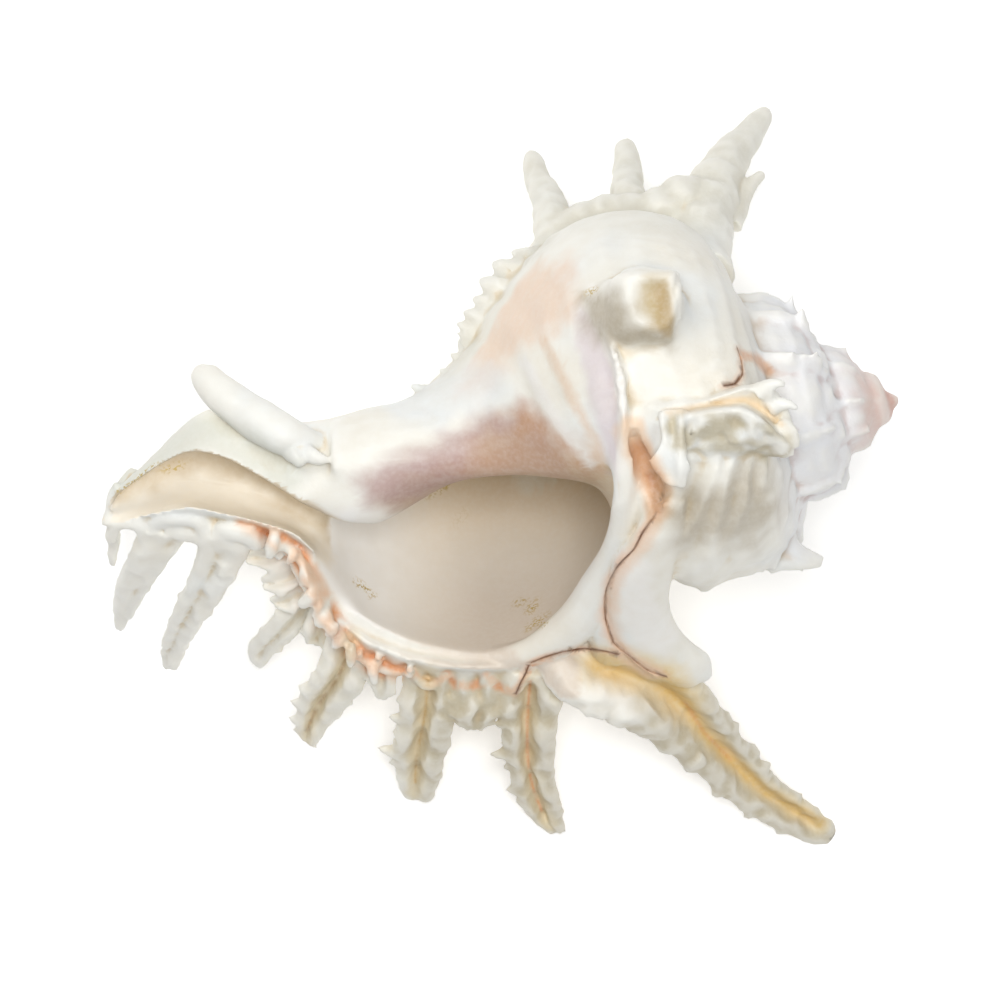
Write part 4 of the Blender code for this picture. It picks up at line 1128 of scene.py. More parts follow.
# %% Torn curls where the lip meets the canal
CURL_SPACING = 2.7
CURL_LAST = 8
curl_route = np.array(LIP_FOLDS[CORD_FROM:CURL_LAST + 1])
curl_length = np.linalg.norm(np.diff(curl_route[:, :2], axis=0), axis=1).sum()
curl_rows = smooth_rows(curl_route, int(curl_length / CURL_SPACING))
for index, row in enumerate(curl_rows):
    direction = heading(curl_rows[:, :2], index)
    outwards = np.array([direction[1], -direction[0], 0.0])
    reach = 3.2 + 3.6 * noise.noise(Vector((3.13 * index, 1.3, 0.4)))
    thick = 1.5 + 1.2 * noise.noise(Vector((2.37 * index, 7.2, 0.7)))
    rise = 0.9 + 2.2 * noise.noise(Vector((1.73 * index, 3.6, 5.1)))
    lean = 0.5 + 1.6 * noise.noise(Vector((2.71 * index, 9.4, 2.2)))
    inner = row - 0.8 * outwards + (rise - 0.4) * UP
    outer = row + reach * (outwards + lean * np.array([direction[0], direction[1], 0.0])) - 0.8 * UP
    middle = (inner + outer) / 2.0 + rise * UP
    route = [(*inner, 0.7 * thick), (*middle, thick), (*outer, 0.5 * thick)]
    grown.append(rod(f"curl_{index}", route, sides=10, lumps=0.4))

# %% Lumps down both edges of the long frond
LUMPS = [
    (16.1, -48.4, 43.0, 3.6), (21.0, -52.2, 42.0, 3.6), (26.5, -54.8, 39.6, 3.0), (38.5, -62.0, 28.0, 2.6),
    (44.4, -65.0, 22.6, 3.0), (50.0, -69.4, 17.0, 2.7), (54.0, -73.2, 12.6, 2.2), (63.0, -79.6, 6.6, 2.0),
    (37.0, -43.6, 42.0, 3.0), (42.0, -46.0, 38.0, 3.0), (45.0, -49.6, 34.0, 2.6), (51.2, -56.4, 24.6, 2.4),
    (58.0, -64.6, 16.0, 2.2)]
LUMP_HEADING = np.array([0.76, -0.55, -0.35])
for x, y, z, radius in LUMPS:
    middle = np.array([x, y, z])
    grown.append(rod(f"lump_{x}", [
        (*(middle - 1.2 * radius * LUMP_HEADING), 0.5 * radius), (*middle, radius),
        (*(middle + 0.9 * radius * LUMP_HEADING + 0.2 * UP), 0.8 * radius),
        (*(middle + 1.3 * radius * LUMP_HEADING), 0.3 * radius)], sides=12, lumps=0.5))

# %% Torn edge below the spire
TORN_EDGE = [
    (49.6, -24.6), (51.8, -22.8), (54.0, -21.8), (56.6, -22.2), (59.4, -22.0), (62.0, -21.4)]
for x, y in TORN_EDGE:
    route = [(x - 1.0, y + 6.0, 66.0, 2.6), (x - 0.3, y + 2.0, 62.0, 1.7), (x, y, 60.0, 0.6)]
    grown.append(rod(f"torn_{x}", route, sides=8, lumps=0.3))

# %% [markdown]
# ## One skin
# The real shell has no seams, as one animal laid it down as one skin. Booleans could unite the pieces,
# but with so many rough pieces that cross, one bad cut would spoil all. So they are joined as they are
# and remeshed by voxels, which leaves one closed skin. Then a few places are rubbed smooth, the fronds
# are crumpled, and the skin is thinned to the triangles allowed.

# %% Grow everything together
VOXEL = 0.5
SMOOTH_REPEAT = 2
FLOOR = [(-84.0, -5.0), (-72.0, -2.0), (-60.0, -4.0), (-46.0, -11.0), (-38.0, -16.0)]
LIP_CORNER = [(2.0, -38.0), (8.0, -39.0), (14.0, -38.0)]
WEB_FOOT = [(15.0, 50.0), (20.0, 55.0), (30.0, 58.0), (40.0, 57.0), (46.0, 52.0)]
STUMP_FOOT = [(20.0, 42.0), (20.0, 34.0), (22.0, 26.0), (32.0, 24.0), (40.0, 26.0), (43.0, 34.0)]
STEP = [(-36.0, -8.0), (-36.5, -15.0), (-35.0, -23.0)]
OPENING_EDGE = [(-30.0, -4.0), (-16.0, 2.0), (-2.0, 4.0), (10.0, 4.0), (18.0, 3.0), (22.0, 0.0)]


shell = fuse(grown, "murex_shell", VOXEL)
apply(shell, "SMOOTH", factor=0.5, iterations=SMOOTH_REPEAT)
rub(shell, FLOOR, radius=9.0, repeats=200, low=36.0, high=50.0)
rub(shell, LIP_CORNER, radius=5.0, repeats=60, low=36.0)
rub(shell, OPENING_EDGE, radius=9.0, repeats=200, low=42.0)
rub(shell, STEP, radius=9.0, repeats=250, low=20.0)
rub(shell, STUMP_FOOT, radius=5.0, repeats=60, low=78.0, high=100.0)
rub(shell, WEB_FOOT, radius=5.0, repeats=120, low=30.0, high=80.0)
print("grown together:", len(shell.data.vertices), "points")

# %% Crumple the fronds, the spines and the ledge's wall
CRUMPLE_HEIGHT = 0.5
CRUMPLE_SIZE = 4.8
CRUMPLE_EDGE = 0.35
CRUMPLE_STEEP = 1.6
FINE_CRUMPLE = 0.2
OUTSIDE_LIP = (1.0, 3.5)
BELOW_LIP = (44.0, 48.0)
SPINE_SIDE = (56.0, 62.0)
SPINE_SHARE = 0.5
WALL_SHARE = 1.4
points = points_of(shell)
x, y, z = points.T
lip_line = np.interp(x, [row[0] for row in LIP_FOLDS], [row[1] for row in LIP_FOLDS])
crumpled = ramp(lip_line - y, *OUTSIDE_LIP) * (1.0 - ramp(z, *BELOW_LIP))
crumpled += SPINE_SHARE * ramp(y, *SPINE_SIDE)
on_wall = ramp(x, 39.0, 43.0) * (1.0 - ramp(x, 62.0, 65.0)) * ramp(z, 92.0, 95.0)
crumpled += WALL_SHARE * on_wall * ramp(y, 0.0, 3.0) * (1.0 - ramp(y, 10.0, 13.5))
near = np.flatnonzero(crumpled)
crumples = CRUMPLE_EDGE - np.abs(lumps_at(points[near], CRUMPLE_SIZE, 33.0)) * CRUMPLE_STEEP
crumples += FINE_CRUMPLE * lumps_at(points[near], 0.5 * CRUMPLE_SIZE, 61.0)
points[near] += points_of(shell, "normal")[near] * (CRUMPLE_HEIGHT * crumples * crumpled[near])[:, None]
put_points(shell, points)
print("crumpled:", len(near), "points")

# %% Thin the skin
TRIANGLES = 188000
shell.data.calc_loop_triangles()
apply(shell, "DECIMATE", ratio=TRIANGLES / len(shell.data.loop_triangles), use_collapse_triangulate=True)
print("after thinning:", len(shell.data.polygons), "triangles")

# %% [markdown]
# ## Worn tips
# The shell lies on three tips, which are worn level. Here they are cut with a level plane and closed, so
# the finished piece touches the floor where the solid does.

# %% Cut the three tips level
only(shell)
bpy.ops.object.mode_set(mode="EDIT")
bpy.ops.mesh.select_all(action="SELECT")
bpy.ops.mesh.bisect(plane_co=(0.0, 0.0, 0.0), plane_no=(0.0, 0.0, -1.0), use_fill=True, clear_outer=True)
bpy.ops.mesh.select_all(action="SELECT")
bpy.ops.mesh.quads_convert_to_tris()
bpy.ops.object.mode_set(mode="OBJECT")
print("lowest point:", points_of(shell)[:, 2].min())

# %% [markdown]
# ## Cracks and the notch
# Thin dark cracks run where the lip was laid on older shell, and a deep notch lies below the inner lip.
# A crack is a blade with a V section that follows the surface, and the blade is cut out.

# %% Cut the cracks and the notch
CRACKS = [
    [(36.2, -4.6), (34.4, -9.1), (31.7, -13.2), (29.9, -16.8), (26.3, -20.8), (24.0, -26.3), (24.0, -32.6),
     (25.8, -38.0), (29.9, -41.6), (33.9, -44.7), (38.0, -46.1)],
    [(7.2, -43.0), (10.4, -41.7), (14.3, -40.5), (19.5, -39.8), (24.3, -40.3), (27.0, -41.0)],
    [(3.8, -50.4), (4.7, -48.1), (6.1, -45.4), (6.7, -43.6)],
    [(52.6, 27.7), (53.5, 25.0), (53.7, 21.9), (51.9, 19.7), (49.5, 19.3)]]
CRACK_HALF = 0.3
CRACK_DEPTH = 1.5
CRACK_SPACING = 0.9
NOTCH = [(28.9, 9.6), (30.7, 4.8), (33.3, -0.3), (35.0, -4.1), (35.0, -8.0)]
NOTCH_RADII = [1.2, 2.3, 3.1, 2.6, 1.4]
NOTCH_SINK = 0.6


def height_at(tree, x, y):
    """Height of the shell's upper side."""
    return tree.ray_cast(Vector((x, y, 150.0)), Vector((0.0, 0.0, -1.0)))[0].z


def blade(name, route):
    """Thin V that follows the surface along a route."""
    length = sum(math.dist(start, end) for start, end in zip(route, route[1:]))
    rows = smooth_rows(route, int(length / CRACK_SPACING))
    heights = [height_at(SHELL_TREE, x, y) for x, y in rows]
    heights = np.convolve(np.pad(heights, 1, mode="edge"), (0.25, 0.5, 0.25), mode="valid")
    rings = []
    for index, ((x, y), height) in enumerate(zip(rows, heights)):
        direction = heading(rows, index)
        ends = min(index, len(rows) - 1 - index, 3) / 3.0
        half = CRACK_HALF * (0.35 + 0.65 * ends) * (1.0 + 0.4 * noise.noise(Vector((x, y, 0.0))))
        sideways = 3.0 * half * np.array([direction[1], -direction[0], 0.0])
        top = np.array([x, y, height + 2.0 * CRACK_DEPTH])
        bottom = np.array([x, y, height - CRACK_DEPTH * (0.3 + 0.7 * ends)])
        rings.append([top - sideways, top + sideways, bottom])
    return sweep(name, rings)


SHELL_TREE = BVHTree.FromObject(shell, bpy.context.evaluated_depsgraph_get())
cutters = [blade(f"crack_{number}", route) for number, route in enumerate(CRACKS)]
cutters.append(rod("notch", [
    (x, y, height_at(SHELL_TREE, x, y) - NOTCH_SINK * radius, radius)
    for (x, y), radius in zip(NOTCH, NOTCH_RADII)]))
for cutter in cutters:
    before = len(shell.data.vertices)
    apply(shell, "BOOLEAN", operation="DIFFERENCE", object=cutter, solver="MANIFOLD")
    bpy.data.objects.remove(cutter)
    print("cut:", len(shell.data.vertices) - before, "more points")
rub(shell, NOTCH, radius=6.5, repeats=20, low=70.0)

# %% [markdown]
# ## Colour
# The shell is white, with peach in the folds of the lip, ochre in the long frond, mauve and orange at
# the top of the opening, tan inside, rose at the tip and a few mineral stains. These follow no rule of
# growth, so they are laid on by brush as seen from above: a stroke is a route, a width and a range of
# heights, and a patch is a filled outline with a soft edge. Light and shade are painted in as well: how
# deep a point lies in the relief counts, with painted shade in hollows and a painted highlight on proud
# points, and some sides, undersides and parts of the hollow are painted darker or lighter as the lamps
# would light them. The result is stored on the points of the mesh, where the material reads it.


# %% Brushes
def tone(code):
    """Linear colour from a six-digit colour code."""
    channels = np.array([int(code[index:index + 2], 16) for index in (0, 2, 4)]) / 255.0
    return np.where(channels <= 0.04045, channels / 12.92, ((channels + 0.055) / 1.055) ** 2.4)


LEVEL_SOFT = 1.5


def level(low, high):
    """1 on the points between two heights, with soft ends."""
    height = PLACES[:, 2]
    above = ramp(height, low - LEVEL_SOFT, low + LEVEL_SOFT)
    return above * (1.0 - ramp(height, high - LEVEL_SOFT, high + LEVEL_SOFT))


def stroke(route, radius, soft, low=-5.0, high=120.0):
    """How much colour a brush leaves on each point: full within a radius, fading over a soft edge."""
    gap = along_route(PLACES, route) + 0.35 * soft * MOTTLE
    return (1.0 - ramp(gap, radius, radius + soft)) * level(low, high)


def patch(outline, soft, low=-5.0, high=120.0):
    """How much colour a filled outline leaves, with a soft edge."""
    x, y = PLACES[:, 0], PLACES[:, 1]
    inside = np.zeros(len(PLACES), dtype=bool)
    for (x0, y0), (x1, y1) in zip(outline, outline[1:] + outline[:1]):
        crosses = (y0 > y) != (y1 > y)
        inside ^= crosses & (x < (x1 - x0) * (y - y0) / (y1 - y0 + 1e-9) + x0)
    edge = along_route(PLACES, outline + outline[:1]) * np.where(inside, -1.0, 1.0) + 0.4 * soft * MOTTLE
    return (1.0 - ramp(edge, -0.7 * soft, 0.5 * soft)) * level(low, high)


HOLLOW_LOWEST = 8.0


def nearness(tree, reach):
    """1 on the skin that a cutter left, falling to 0 at a distance from it."""
    near = np.zeros(len(PLACES))
    for index in np.flatnonzero(PLACES[:, 2] > HOLLOW_LOWEST):
        point, facing = PLACES[index], FACING[index]
        _, normal, _, gap = tree.find_nearest(Vector(point), reach)
        if gap is not None and normal.dot(Vector(facing)) < -0.4:
            near[index] = 1.0 - gap / reach
    return ramp(near, 0.0, 0.6)


def lay(colour, amount):
    """Lay a colour over the paint."""
    global PAINT
    PAINT = PAINT + (tone(colour) - PAINT) * np.clip(amount, 0.0, 1.0)[:, None]


# %% How hollow or proud each point lies
def hollowness(piece, repeats):
    """Average sinking of each point below its neighbours, in mm, spread over a few rings."""
    points = points_of(piece)
    facing = points_of(piece, "normal")
    ends = edge_ends(piece)
    smooth = points
    for _ in range(repeats):
        smooth = neighbour_mean(smooth, ends)
    return np.einsum("ij,ij->i", smooth - points, facing)


# %% Ground colours, painted shade and painted light: outside, hollow, channel and spire
PLACES = points_of(shell)
FACING = points_of(shell, "normal")
SUNK = hollowness(shell, 12)
print("sunk, mm:", np.percentile(SUNK, (2, 20, 50, 80, 98)).round(3))
MOTTLE = lumps_at(PLACES, 3.5, 7.0)
CLOUDS = lumps_at(PLACES, 14.0, 20.0)
PAINT = np.tile(tone("F5F3EA"), (len(PLACES), 1))
inside = nearness(HOLLOW_TREE, 2.0)
in_channel = nearness(CHANNEL_TREE, 2.0)
gloss = np.maximum(inside, in_channel)
from_tip = np.linalg.norm(PLACES - APEX, axis=1)
FROM_AXIS = np.linalg.norm((PLACES - APEX) - ((PLACES - APEX) @ AXIS)[:, None] * AXIS, axis=1)
on_spire = (1.0 - ramp((PLACES - APEX) @ AXIS, 26.0, 40.0)) * (1.0 - ramp(FROM_AXIS, 30.0, 36.0))
lay("F1ECDF", 0.7 * ramp(CLOUDS, -0.1, 0.5) * (1.0 - gloss))
lay("EFF2F1", 0.7 * ramp(-CLOUDS, 0.0, 0.5) * (1.0 - gloss))
lay("F0F1F5", 0.8 * on_spire)
# Painted shade, tinted lilac, in the recesses of the spire.
lay("C4AEB4", 0.6 * on_spire * ramp(SUNK + 0.1 * MOTTLE, 0.1, 0.6))
lay("E2BDAE", 0.8 * (1.0 - ramp(from_tip + 3.0 * MOTTLE, 8.0, 24.0)))
lay("CF8F7C", 0.6 * (1.0 - ramp(from_tip + 2.0 * MOTTLE, 3.0, 12.0)))
FRONDS_LOW = 40.0
on_fronds = 1.0 - ramp(PLACES[:, 2], FRONDS_LOW - 6.0, FRONDS_LOW + 4.0)
on_fronds *= 1.0 - ramp(PLACES[:, 1], -34.0, -24.0)
on_fronds = np.maximum(on_fronds, ramp(-PLACES[:, 0], 70.0, 76.0) * (1.0 - ramp(PLACES[:, 2], 38.0, 44.0)))
# Low fronds: cream-grey, partly their tint and partly painted shade. Those on the left are painted lighter
# where the lamps light them, and those on the right darker with painted shade.
lay("E7E1CE", 0.75 * on_fronds)
lay("F4F3ED", 0.8 * on_fronds * (1.0 - ramp(PLACES[:, 0] + 4.0 * CLOUDS, -62.0, -40.0)))
lay("BCAE8C", 0.7 * on_fronds * ramp(PLACES[:, 0] + 4.0 * CLOUDS, -26.0, -14.0))
# Spines at the back: grey-cream, partly their tint and partly painted shade.
lay("DCD8C8", 0.7 * ramp(PLACES[:, 1] + 2.0 * MOTTLE, 50.0, 60.0))
# Painted shade along the row of scales.
lay("DEDBCE", 0.7 * stroke([row[:2] for row in SCALES], 2.0, 2.5, 34.0))
# Painted shade in the hollows of the relief, weaker on the spire, and a painted highlight on proud points.
plain_lime = (1.0 - gloss) * (1.0 - 0.75 * on_spire)
lay("D2BC92", 0.6 * ramp(SUNK + 0.15 * MOTTLE, 0.12, 0.7) * plain_lime)
lay("B99868", 0.5 * ramp(SUNK, 0.5, 1.3) * plain_lime)
lay("FCFBF4", 0.5 * ramp(-SUNK, 0.1, 0.6) * (1.0 - gloss))
lay("FAF3E6", inside)
# In the hollow: painted light on its left side, tan towards its upper right that is partly its colour and
# partly painted shade, and lilac-grey towards its lower right.
lay("FFFEFA", 0.9 * inside * (1.0 - ramp(PLACES[:, 0], -34.0, -12.0)))
lay("D6BC94", 0.85 * inside * ramp(PLACES[:, 1], -26.0, 4.0) * ramp(PLACES[:, 0], -34.0, -8.0))
lay("D8CABA", 0.75 * inside * (1.0 - ramp(PLACES[:, 1], -34.0, -12.0)) * ramp(PLACES[:, 0], -30.0, 0.0))
lay("FAF2E2", in_channel)
CHANNEL_SHADE = [(-87.0, -3.0), (-77.0, 2.0), (-66.0, 4.0), (-56.0, 1.5), (-46.0, -6.0), (-38.0, -12.0)]
lay("BFA67A", 0.65 * in_channel * stroke(CHANNEL_SHADE, 0.5, 6.0))

# %% Top of the opening and the inner lip
MAUVE = [
    (-33.3, -1.0), (-26.6, 2.6), (-14.4, 7.5), (-6.1, 13.0), (0.6, 14.4), (5.2, 16.2), (10.1, 12.1),
    (13.5, 7.5), (15.8, -0.4), (5.2, -0.6), (-3.9, -1.2), (-10.5, -3.6), (-17.4, -6.6), (-23.8, -8.4),
    (-30.4, -6.0)]
ORANGE_BAND = [
    (0.1, 13.7), (5.2, 16.1), (10.1, 12.6), (16.6, 7.9), (21.9, 2.6), (23.2, -2.3), (17.9, 1.2),
    (12.3, 5.7), (6.8, 8.3)]
OPENING_PEACH = [(-6.0, 9.0), (4.0, 12.0), (12.0, 8.0), (20.0, 0.0), (16.0, -3.0), (2.0, -2.0), (-8.0, 0.0)]
CALLUS_PEACH = [
    (1.2, 46.5), (16.0, 48.4), (18.6, 38.2), (14.3, 31.6), (4.5, 27.2), (-2.1, 19.5), (-9.8, 17.3),
    (-6.5, 27.2), (-2.1, 36.0)]
CALLUS_LILAC = [
    (16.6, 38.3), (20.4, 36.1), (23.3, 29.4), (25.5, 22.8), (27.0, 15.1), (27.0, 5.2), (26.1, -1.4),
    (23.0, 5.2), (20.0, 16.2), (17.3, 27.2)]
CALLUS_STREAK = [(10.0, 29.4), (13.3, 22.4), (17.3, 14.0), (21.3, 7.4), (23.0, 0.8)]
CALLUS_RIDGE = [(5.2, 25.5), (8.9, 18.4), (13.3, 10.7), (17.8, 5.2), (20.4, 2.1)]
OPENING_TOP = 52.0
TAN_TOP = [
    (-28.0, -7.0), (-14.0, 3.0), (-2.0, 6.5), (10.0, 7.0), (21.0, 3.0), (24.0, -10.0), (10.0, -12.0),
    (-10.0, -12.0)]
# Tan and mauve under the top of the opening: partly their colour and partly painted shade.
lay("C9AB86", 0.85 * patch(TAN_TOP, 4.0, 30.0))
lay("B08C88", 0.8 * patch(MAUVE, 5.0, OPENING_TOP))
lay("C6A285", 0.75 * patch(OPENING_PEACH, 6.0, OPENING_TOP))
lay("C69670", 0.8 * patch(ORANGE_BAND, 4.5, OPENING_TOP))
RIM_SHADE = [(-86.0, 0.0), (-76.0, 6.0), (-66.0, 10.0), (-56.0, 6.0), (-48.0, 0.0)]
lay("D5D7CA", 0.6 * stroke(RIM_SHADE, 1.5, 5.0) * (1.0 - gloss))
lay("F0D3BA", 0.8 * patch(CALLUS_PEACH, 6.0, 60.0))
lay("E8EDF0", 0.5 * stroke([(-22.0, 18.0), (-12.0, 17.0), (-4.0, 20.0)], 3.0, 5.0, 50.0))
lay("E2D6DA", 0.8 * patch(CALLUS_LILAC, 2.5, 60.0))
lay("E3BD98", 0.5 * stroke(CALLUS_STREAK, 0.2, 1.6, 60.0))
lay("F6F3EE", 0.7 * stroke(CALLUS_RIDGE, 0.5, 1.2, 60.0))
lay("FAF7F0", 0.85 * stroke([point[:2] for point in FLANGE], 0.8, 0.9, 80.0))

# %% Lip, fronds and tongue
LONG_GROOVE = [
    (23.1, -43.3), (32.3, -44.7), (38.0, -47.5), (42.9, -52.5), (47.2, -59.4), (53.9, -66.3), (62.4, -73.9),
    (75.3, -81.6)]
TONGUE_EDGE = [
    (35.0, -7.1), (33.9, -11.6), (31.6, -16.1), (27.6, -20.6), (24.9, -26.2), (24.6, -33.0), (26.7, -38.6),
    (30.3, -42.4), (35.0, -45.1)]
folds = np.maximum(
    stroke([row[:2] for row in LIP_FOLDS[1:10]], 1.4, 2.4, 28.0, 58.0),
    stroke([row[:2] for row in LIP_FOLDS[8:]], 0.3, 1.3, 28.0, 58.0)) * (1.0 - gloss)
lay("F0C29A", 0.7 * folds * ramp(MOTTLE, -0.6, 0.1))
# Deeper orange where the lip's folds sink: their colour, deepened with painted shade.
lay("DC8F55", 0.8 * folds * ramp(SUNK + 0.15 * MOTTLE, -0.1, 0.5))
# The line down each groove is its colour, but on the double frond the brown-grey line is painted shade in the
# gap between its two blades.
for name, colour in (("double", "BFA27A"), ("broad", "CFAE72"), ("long_thin", "DE9C66")):
    groove = groove_line(**FRONDS[name])
    lay("EBDCB8", 0.5 * stroke(groove, 0.8, 2.4))
    lay(colour, 0.85 * stroke(groove[:-1], 0.05, 0.6) * ramp(MOTTLE, -0.6, 0.1))
# Rows: colour, share, first and last point of the groove, radius, soft edge.
for colour, share, first, last, radius, soft in (
        ("F2E0B8", 0.8, 0, 4, 3.0, 4.0), ("E6C47A", 0.75, 0, 4, 1.4, 2.6), ("F0DDB2", 0.7, 3, 8, 1.2, 2.2),
        ("E2BC6A", 0.7, 2, 8, 0.5, 1.4), ("DB9C58", 0.6, 3, 6, 0.0, 0.8)):
    lay(colour, share * stroke(LONG_GROOVE[first:last], radius, soft))
TONGUE = [
    (26.0, -18.0), (34.0, -18.0), (35.0, -28.0), (41.0, -36.0), (38.0, -42.0), (31.0, -40.0), (27.0, -33.0)]
# Painted highlight on the left part of the tongue.
lay("FBF9F4", 0.85 * patch(TONGUE, 3.0, 30.0))
lay("F3D3B8", 0.7 * stroke(TONGUE_EDGE, 0.6, 2.6, 40.0))
# Peach round the notch, and dark brown at its bottom as painted shade.
for colour, share, first, radius, soft in (
        ("F3D2B0", 0.8, 0, 1.8, 2.6), ("D39B6C", 0.75, 1, 0.8, 2.6), ("A5693A", 0.7, 2, 0.3, 1.6)):
    lay(colour, share * stroke(NOTCH[first:], radius, soft, 60.0))

# %% Cracks, stains, specks, and painted shade on the stump and round the ledge
for crack in CRACKS:
    lay("E6B590", 0.5 * stroke(crack, 0.0, 1.4, 30.0))
    lay("7E5030", 0.95 * stroke(crack, 0.0, 0.42, 30.0))
STUMP_OCHRE = [(31.0, 43.6), (36.8, 43.8), (38.0, 38.0), (37.6, 31.0), (32.5, 31.6), (31.0, 37.0)]
STUMP_SHADE = [
    (17.5, 40.5), (26.0, 40.0), (30.0, 34.0), (38.0, 31.0), (37.6, 27.4), (24.0, 27.4), (18.6, 32.0)]
UNDER_LEDGE_SHADOW = [(37.0, 4.0), (60.0, 3.0), (63.0, -8.0), (57.0, -16.0), (40.0, -17.0), (34.0, -8.0)]
# Painted shadow of the ledge on the whorl below it.
lay("A69679", 0.6 * patch(UNDER_LEDGE_SHADOW, 7.0, 60.0, 96.0))
lay("A99B80", 0.75 * patch(STUMP_SHADE, 4.5, 80.0))
lay("E2A878", 0.7 * stroke([(54.0, 26.0), (57.6, 25.4), (60.0, 23.0)], 0.4, 1.3, 60.0))
lay("BCA46E", 0.85 * patch(STUMP_OCHRE, 3.5, 96.0))
# Darker ochre down the right edge of the stump's top: its ochre, darkened with painted shade.
lay("AF8F54", 0.6 * stroke([(35.4, 40.0), (36.6, 35.0), (36.4, 31.5)], 0.6, 2.0, 94.0))
LEDGE_WALL_SHADE = [(40.2, 9.0), (50.8, 8.8), (57.4, 8.0), (60.3, 6.6)]
LEDGE_TROUGH = [(37.0, 13.4), (46.3, 15.0), (54.0, 16.2), (58.0, 14.6), (62.0, 11.0)]
# Painted shade, mottled, on the ledge's front wall.
lay("BBAF8E", 0.75 * ramp(MOTTLE, -0.5, 0.2) * stroke(LEDGE_WALL_SHADE, 3.4, 2.0, 88.0))
lay("E8C99A", 0.5 * stroke(LEDGE_TROUGH, 0.2, 1.2, 90.0))
# Rows: route, radius, soft edge.
STAINS = [
    ([(-87.2, -4.2), (-83.6, -2.0), (-79.4, 1.2), (-76.5, 3.0)], 0.0, 0.45),
    ([(-76.4, 1.0), (-74.0, 0.8), (-72.2, 2.4)], 0.4, 0.9),
    ([(-8.5, -6.0), (-7.6, -8.7), (-8.5, -11.9)], 0.4, 1.4),
    ([(-32.5, -25.0), (-30.7, -26.1), (-29.1, -28.0)], 0.2, 0.7),
    ([(4.7, -29.4), (7.4, -30.3), (10.4, -34.0), (7.4, -34.9)], 0.2, 1.0),
    ([(19.9, 40.1), (21.2, 40.8)], 0.3, 0.8),
    ([(-15.7, -5.3), (-12.3, -3.5)], 0.2, 0.8)]
stain = np.zeros(len(PLACES))
for route, radius, soft in STAINS:
    stain = np.maximum(stain, stroke(route, radius, soft, 15.0))


# %% Store the paint on the points
def store(name, values):
    """Keep one number for each point of the shell."""
    layer = shell.data.attributes.new(name, "FLOAT", "POINT")
    layer.data.foreach_set("value", np.ascontiguousarray(values, dtype=np.float32))


paint = shell.data.color_attributes.new("paint", "FLOAT_COLOR", "POINT")
paint.data.foreach_set("color", np.column_stack([PAINT, np.ones(len(PAINT))]).astype(np.float32).ravel())
store("gloss", gloss)
store("stain", stain)
print("paint on", len(PAINT), "points")

# %% Place it on the solid, in metres
SOLID_SHIFT = np.array([-0.07, -0.13, 0.0])
put_points(shell, (points_of(shell) + SOLID_SHIFT) * MM)
only(shell)
bpy.ops.object.shade_smooth()

# %% [markdown]
# ## Finish of the lime
# The outside is satin with a fine grain, the hollow is polished by the animal. One material does both:
# it reads the paint and the gloss from the points, breaks the paint up with fine noise in object
# coordinates, and adds the mineral stains as specks where a stain was laid.


# %% Material
def node(tree, kind, inputs=None, **settings):
    """Add a node and set its values and links."""
    made = tree.nodes.new(kind)
    for name, value in settings.items():
        setattr(made, name, value)
    for key, value in (inputs or {}).items():
        if isinstance(value, bpy.types.NodeSocket):
            tree.links.new(value, made.inputs[key])
        else:
            made.inputs[key].default_value = value
    return made


def mixed(tree, amount, first, second):
    """Mix of two colours."""
    made = tree.nodes.new("ShaderNodeMix")
    made.data_type = "RGBA"
    for socket, value in ((made.inputs[0], amount), (made.inputs[6], first), (made.inputs[7], second)):
        if isinstance(value, bpy.types.NodeSocket):
            tree.links.new(value, socket)
        else:
            socket.default_value = value
    return made.outputs[2]


def noise_at(tree, place, scale, detail=4.0):
    """Noise in object coordinates."""
    made = node(tree, "ShaderNodeTexNoise", {"Vector": place, "Scale": scale, "Detail": detail})
    return made.outputs["Fac"]


def between(tree, value, low, high, to_low=0.0, to_high=1.0):
    """Spread a range of values over another."""
    made = node(tree, "ShaderNodeMapRange", {
        "Value": value, "From Min": low, "From Max": high, "To Min": to_low, "To Max": to_high})
    return made.outputs["Result"]


def times(tree, first, second):
    """Product of two values."""
    return node(tree, "ShaderNodeMath", {0: first, 1: second}, operation="MULTIPLY").outputs[0]


WARM_LIME = (0.78, 0.70, 0.56, 1.0)
CHALK_WHITE = (0.95, 0.95, 0.93, 1.0)
MINERAL_BROWN = (0.56, 0.40, 0.10, 1.0)
SATIN = (0.38, 0.52)
POLISHED = 0.42
SHEEN = 0.35
GRAIN_DEPTH = 0.00012
GRAIN_STRENGTH = (0.5, 0.03)


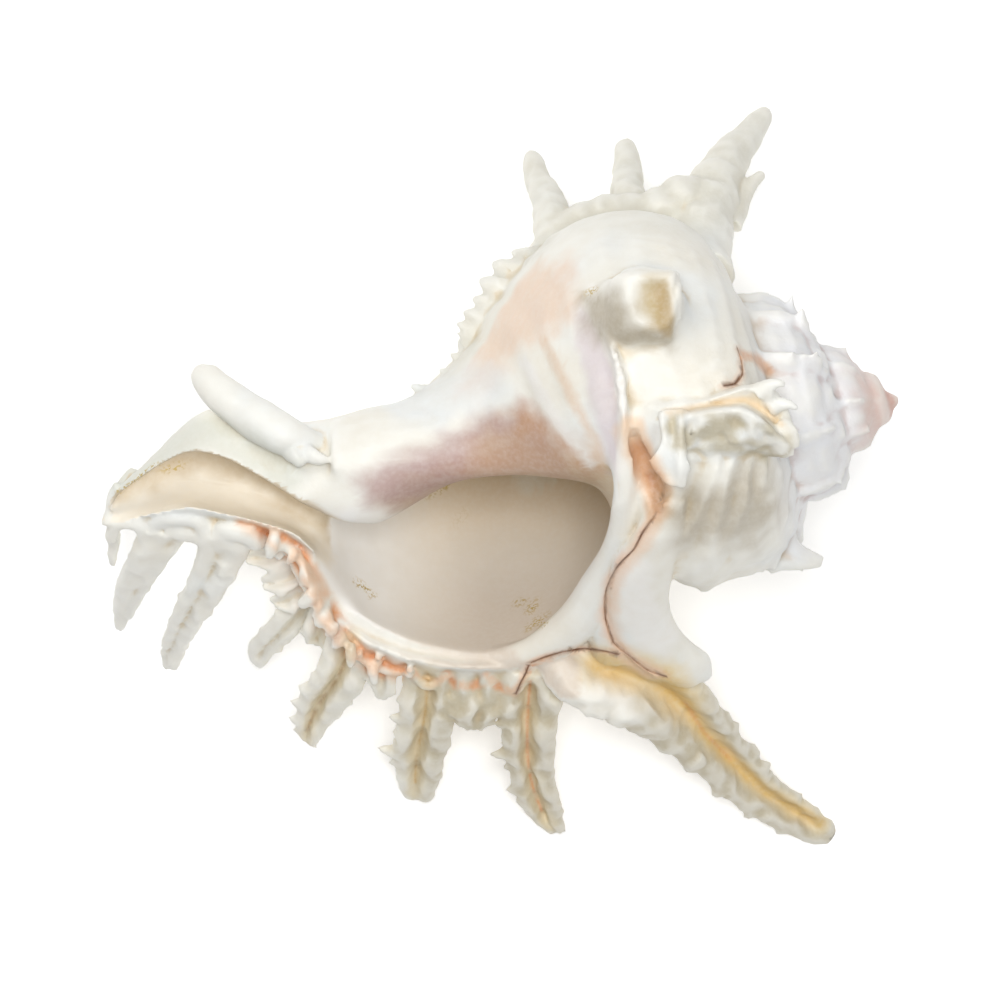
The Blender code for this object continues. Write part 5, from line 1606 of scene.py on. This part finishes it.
def shell_lime():
    """Lime of the shell: painted, satin outside and polished inside."""
    material = bpy.data.materials.new("shell_lime")
    material.use_nodes = True
    tree = material.node_tree
    surface = tree.nodes["Principled BSDF"]
    place = node(tree, "ShaderNodeTexCoord").outputs["Object"]
    painted = node(tree, "ShaderNodeAttribute", attribute_name="paint").outputs["Color"]
    polish = node(tree, "ShaderNodeAttribute", attribute_name="gloss").outputs["Fac"]
    stained = node(tree, "ShaderNodeAttribute", attribute_name="stain").outputs["Fac"]
    mottle = between(tree, noise_at(tree, place, 260.0), 0.35, 0.75)
    colour = mixed(tree, times(tree, mottle, 0.16), painted, WARM_LIME)
    chalk = between(tree, noise_at(tree, place, 900.0, 2.0), 0.4, 0.7)
    colour = mixed(tree, times(tree, chalk, 0.10), colour, CHALK_WHITE)
    specks = between(tree, noise_at(tree, place, 1500.0, 3.0), 0.5, 0.56)
    colour = mixed(tree, times(tree, specks, stained), colour, MINERAL_BROWN)
    tree.links.new(colour, surface.inputs["Base Color"])
    satin = between(tree, noise_at(tree, place, 400.0), 0.3, 0.7, *SATIN)
    rough = node(tree, "ShaderNodeMix", {0: polish, 2: satin, 3: POLISHED})
    tree.links.new(rough.outputs[0], surface.inputs["Roughness"])
    surface.inputs["Specular IOR Level"].default_value = SHEEN
    grain = node(tree, "ShaderNodeBump", {
        "Height": noise_at(tree, place, 1100.0, 5.0), "Distance": GRAIN_DEPTH,
        "Strength": between(tree, polish, 0.0, 1.0, *GRAIN_STRENGTH)})
    tree.links.new(grain.outputs["Normal"], surface.inputs["Normal"])
    return material


shell.data.materials.clear()
shell.data.materials.append(shell_lime())

# %% [markdown]
# ## Into the scene
# The finished shell rides on the solid's body and is shown in its place. The floor, the lamps and the
# camera only serve the picture: the camera looks straight down, as in the photo, and the lamps are
# large squares, because a small lamp or a sun would throw hard shadows.

# %% The shell takes the solid's place
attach(shell, "root")
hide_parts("shell")

# %% Floor, light and camera
bpy.ops.object.select_all(action="DESELECT")
bpy.ops.mesh.primitive_plane_add(size=4.0, location=(0.0, 0.0, 0.0))
floor = bpy.context.active_object
floor.name = "floor"
floor_material = bpy.data.materials.new("pale_floor")
floor_material.use_nodes = True
floor_surface = floor_material.node_tree.nodes["Principled BSDF"]
floor_surface.inputs["Base Color"].default_value = (0.92, 0.92, 0.92, 1.0)
floor_surface.inputs["Roughness"].default_value = 0.9
floor_surface.inputs["Emission Color"].default_value = (1.0, 1.0, 1.0, 1.0)
floor_surface.inputs["Emission Strength"].default_value = 0.3
floor.data.materials.append(floor_material)

TARGET = Vector((0.0001, -0.006, 0.057))
CAMERA_DISTANCE = 1.5
FIELD = 0.2264
SENSOR = 36.0
bpy.ops.object.camera_add(location=TARGET + Vector((0.0, 0.0, CAMERA_DISTANCE)), rotation=(0.0, 0.0, 0.0))
camera = bpy.context.active_object
camera.data.sensor_width = SENSOR
camera.data.lens = SENSOR * CAMERA_DISTANCE / FIELD
bpy.context.scene.camera = camera

WORLD_LIGHT = 0.16
world = bpy.data.worlds.new("studio")
bpy.context.scene.world = world
world.use_nodes = True
background = world.node_tree.nodes["Background"]
background.inputs["Color"].default_value = (1.0, 1.0, 1.0, 1.0)
background.inputs["Strength"].default_value = WORLD_LIGHT
# Rows: name, place, side in metres, power in watts.
LAMPS = [
    ("window", (-0.45, 0.55, 0.85), 0.7, 4.6), ("overhead", (0.0, 0.04, 1.4), 0.4, 8.4),
    ("fill", (0.5, -0.4, 0.95), 0.5, 2.4)]


def lamp(name, place, size, power):
    """Soft square lamp that looks at the shell."""
    bpy.ops.object.light_add(type="AREA", location=place)
    light = bpy.context.active_object
    light.name = name
    light.data.size = size
    light.data.energy = power
    light.rotation_euler = (TARGET - Vector(place)).to_track_quat("-Z", "Y").to_euler()


for row in LAMPS:
    lamp(*row)
bpy.context.scene.view_settings.view_transform = "Standard"
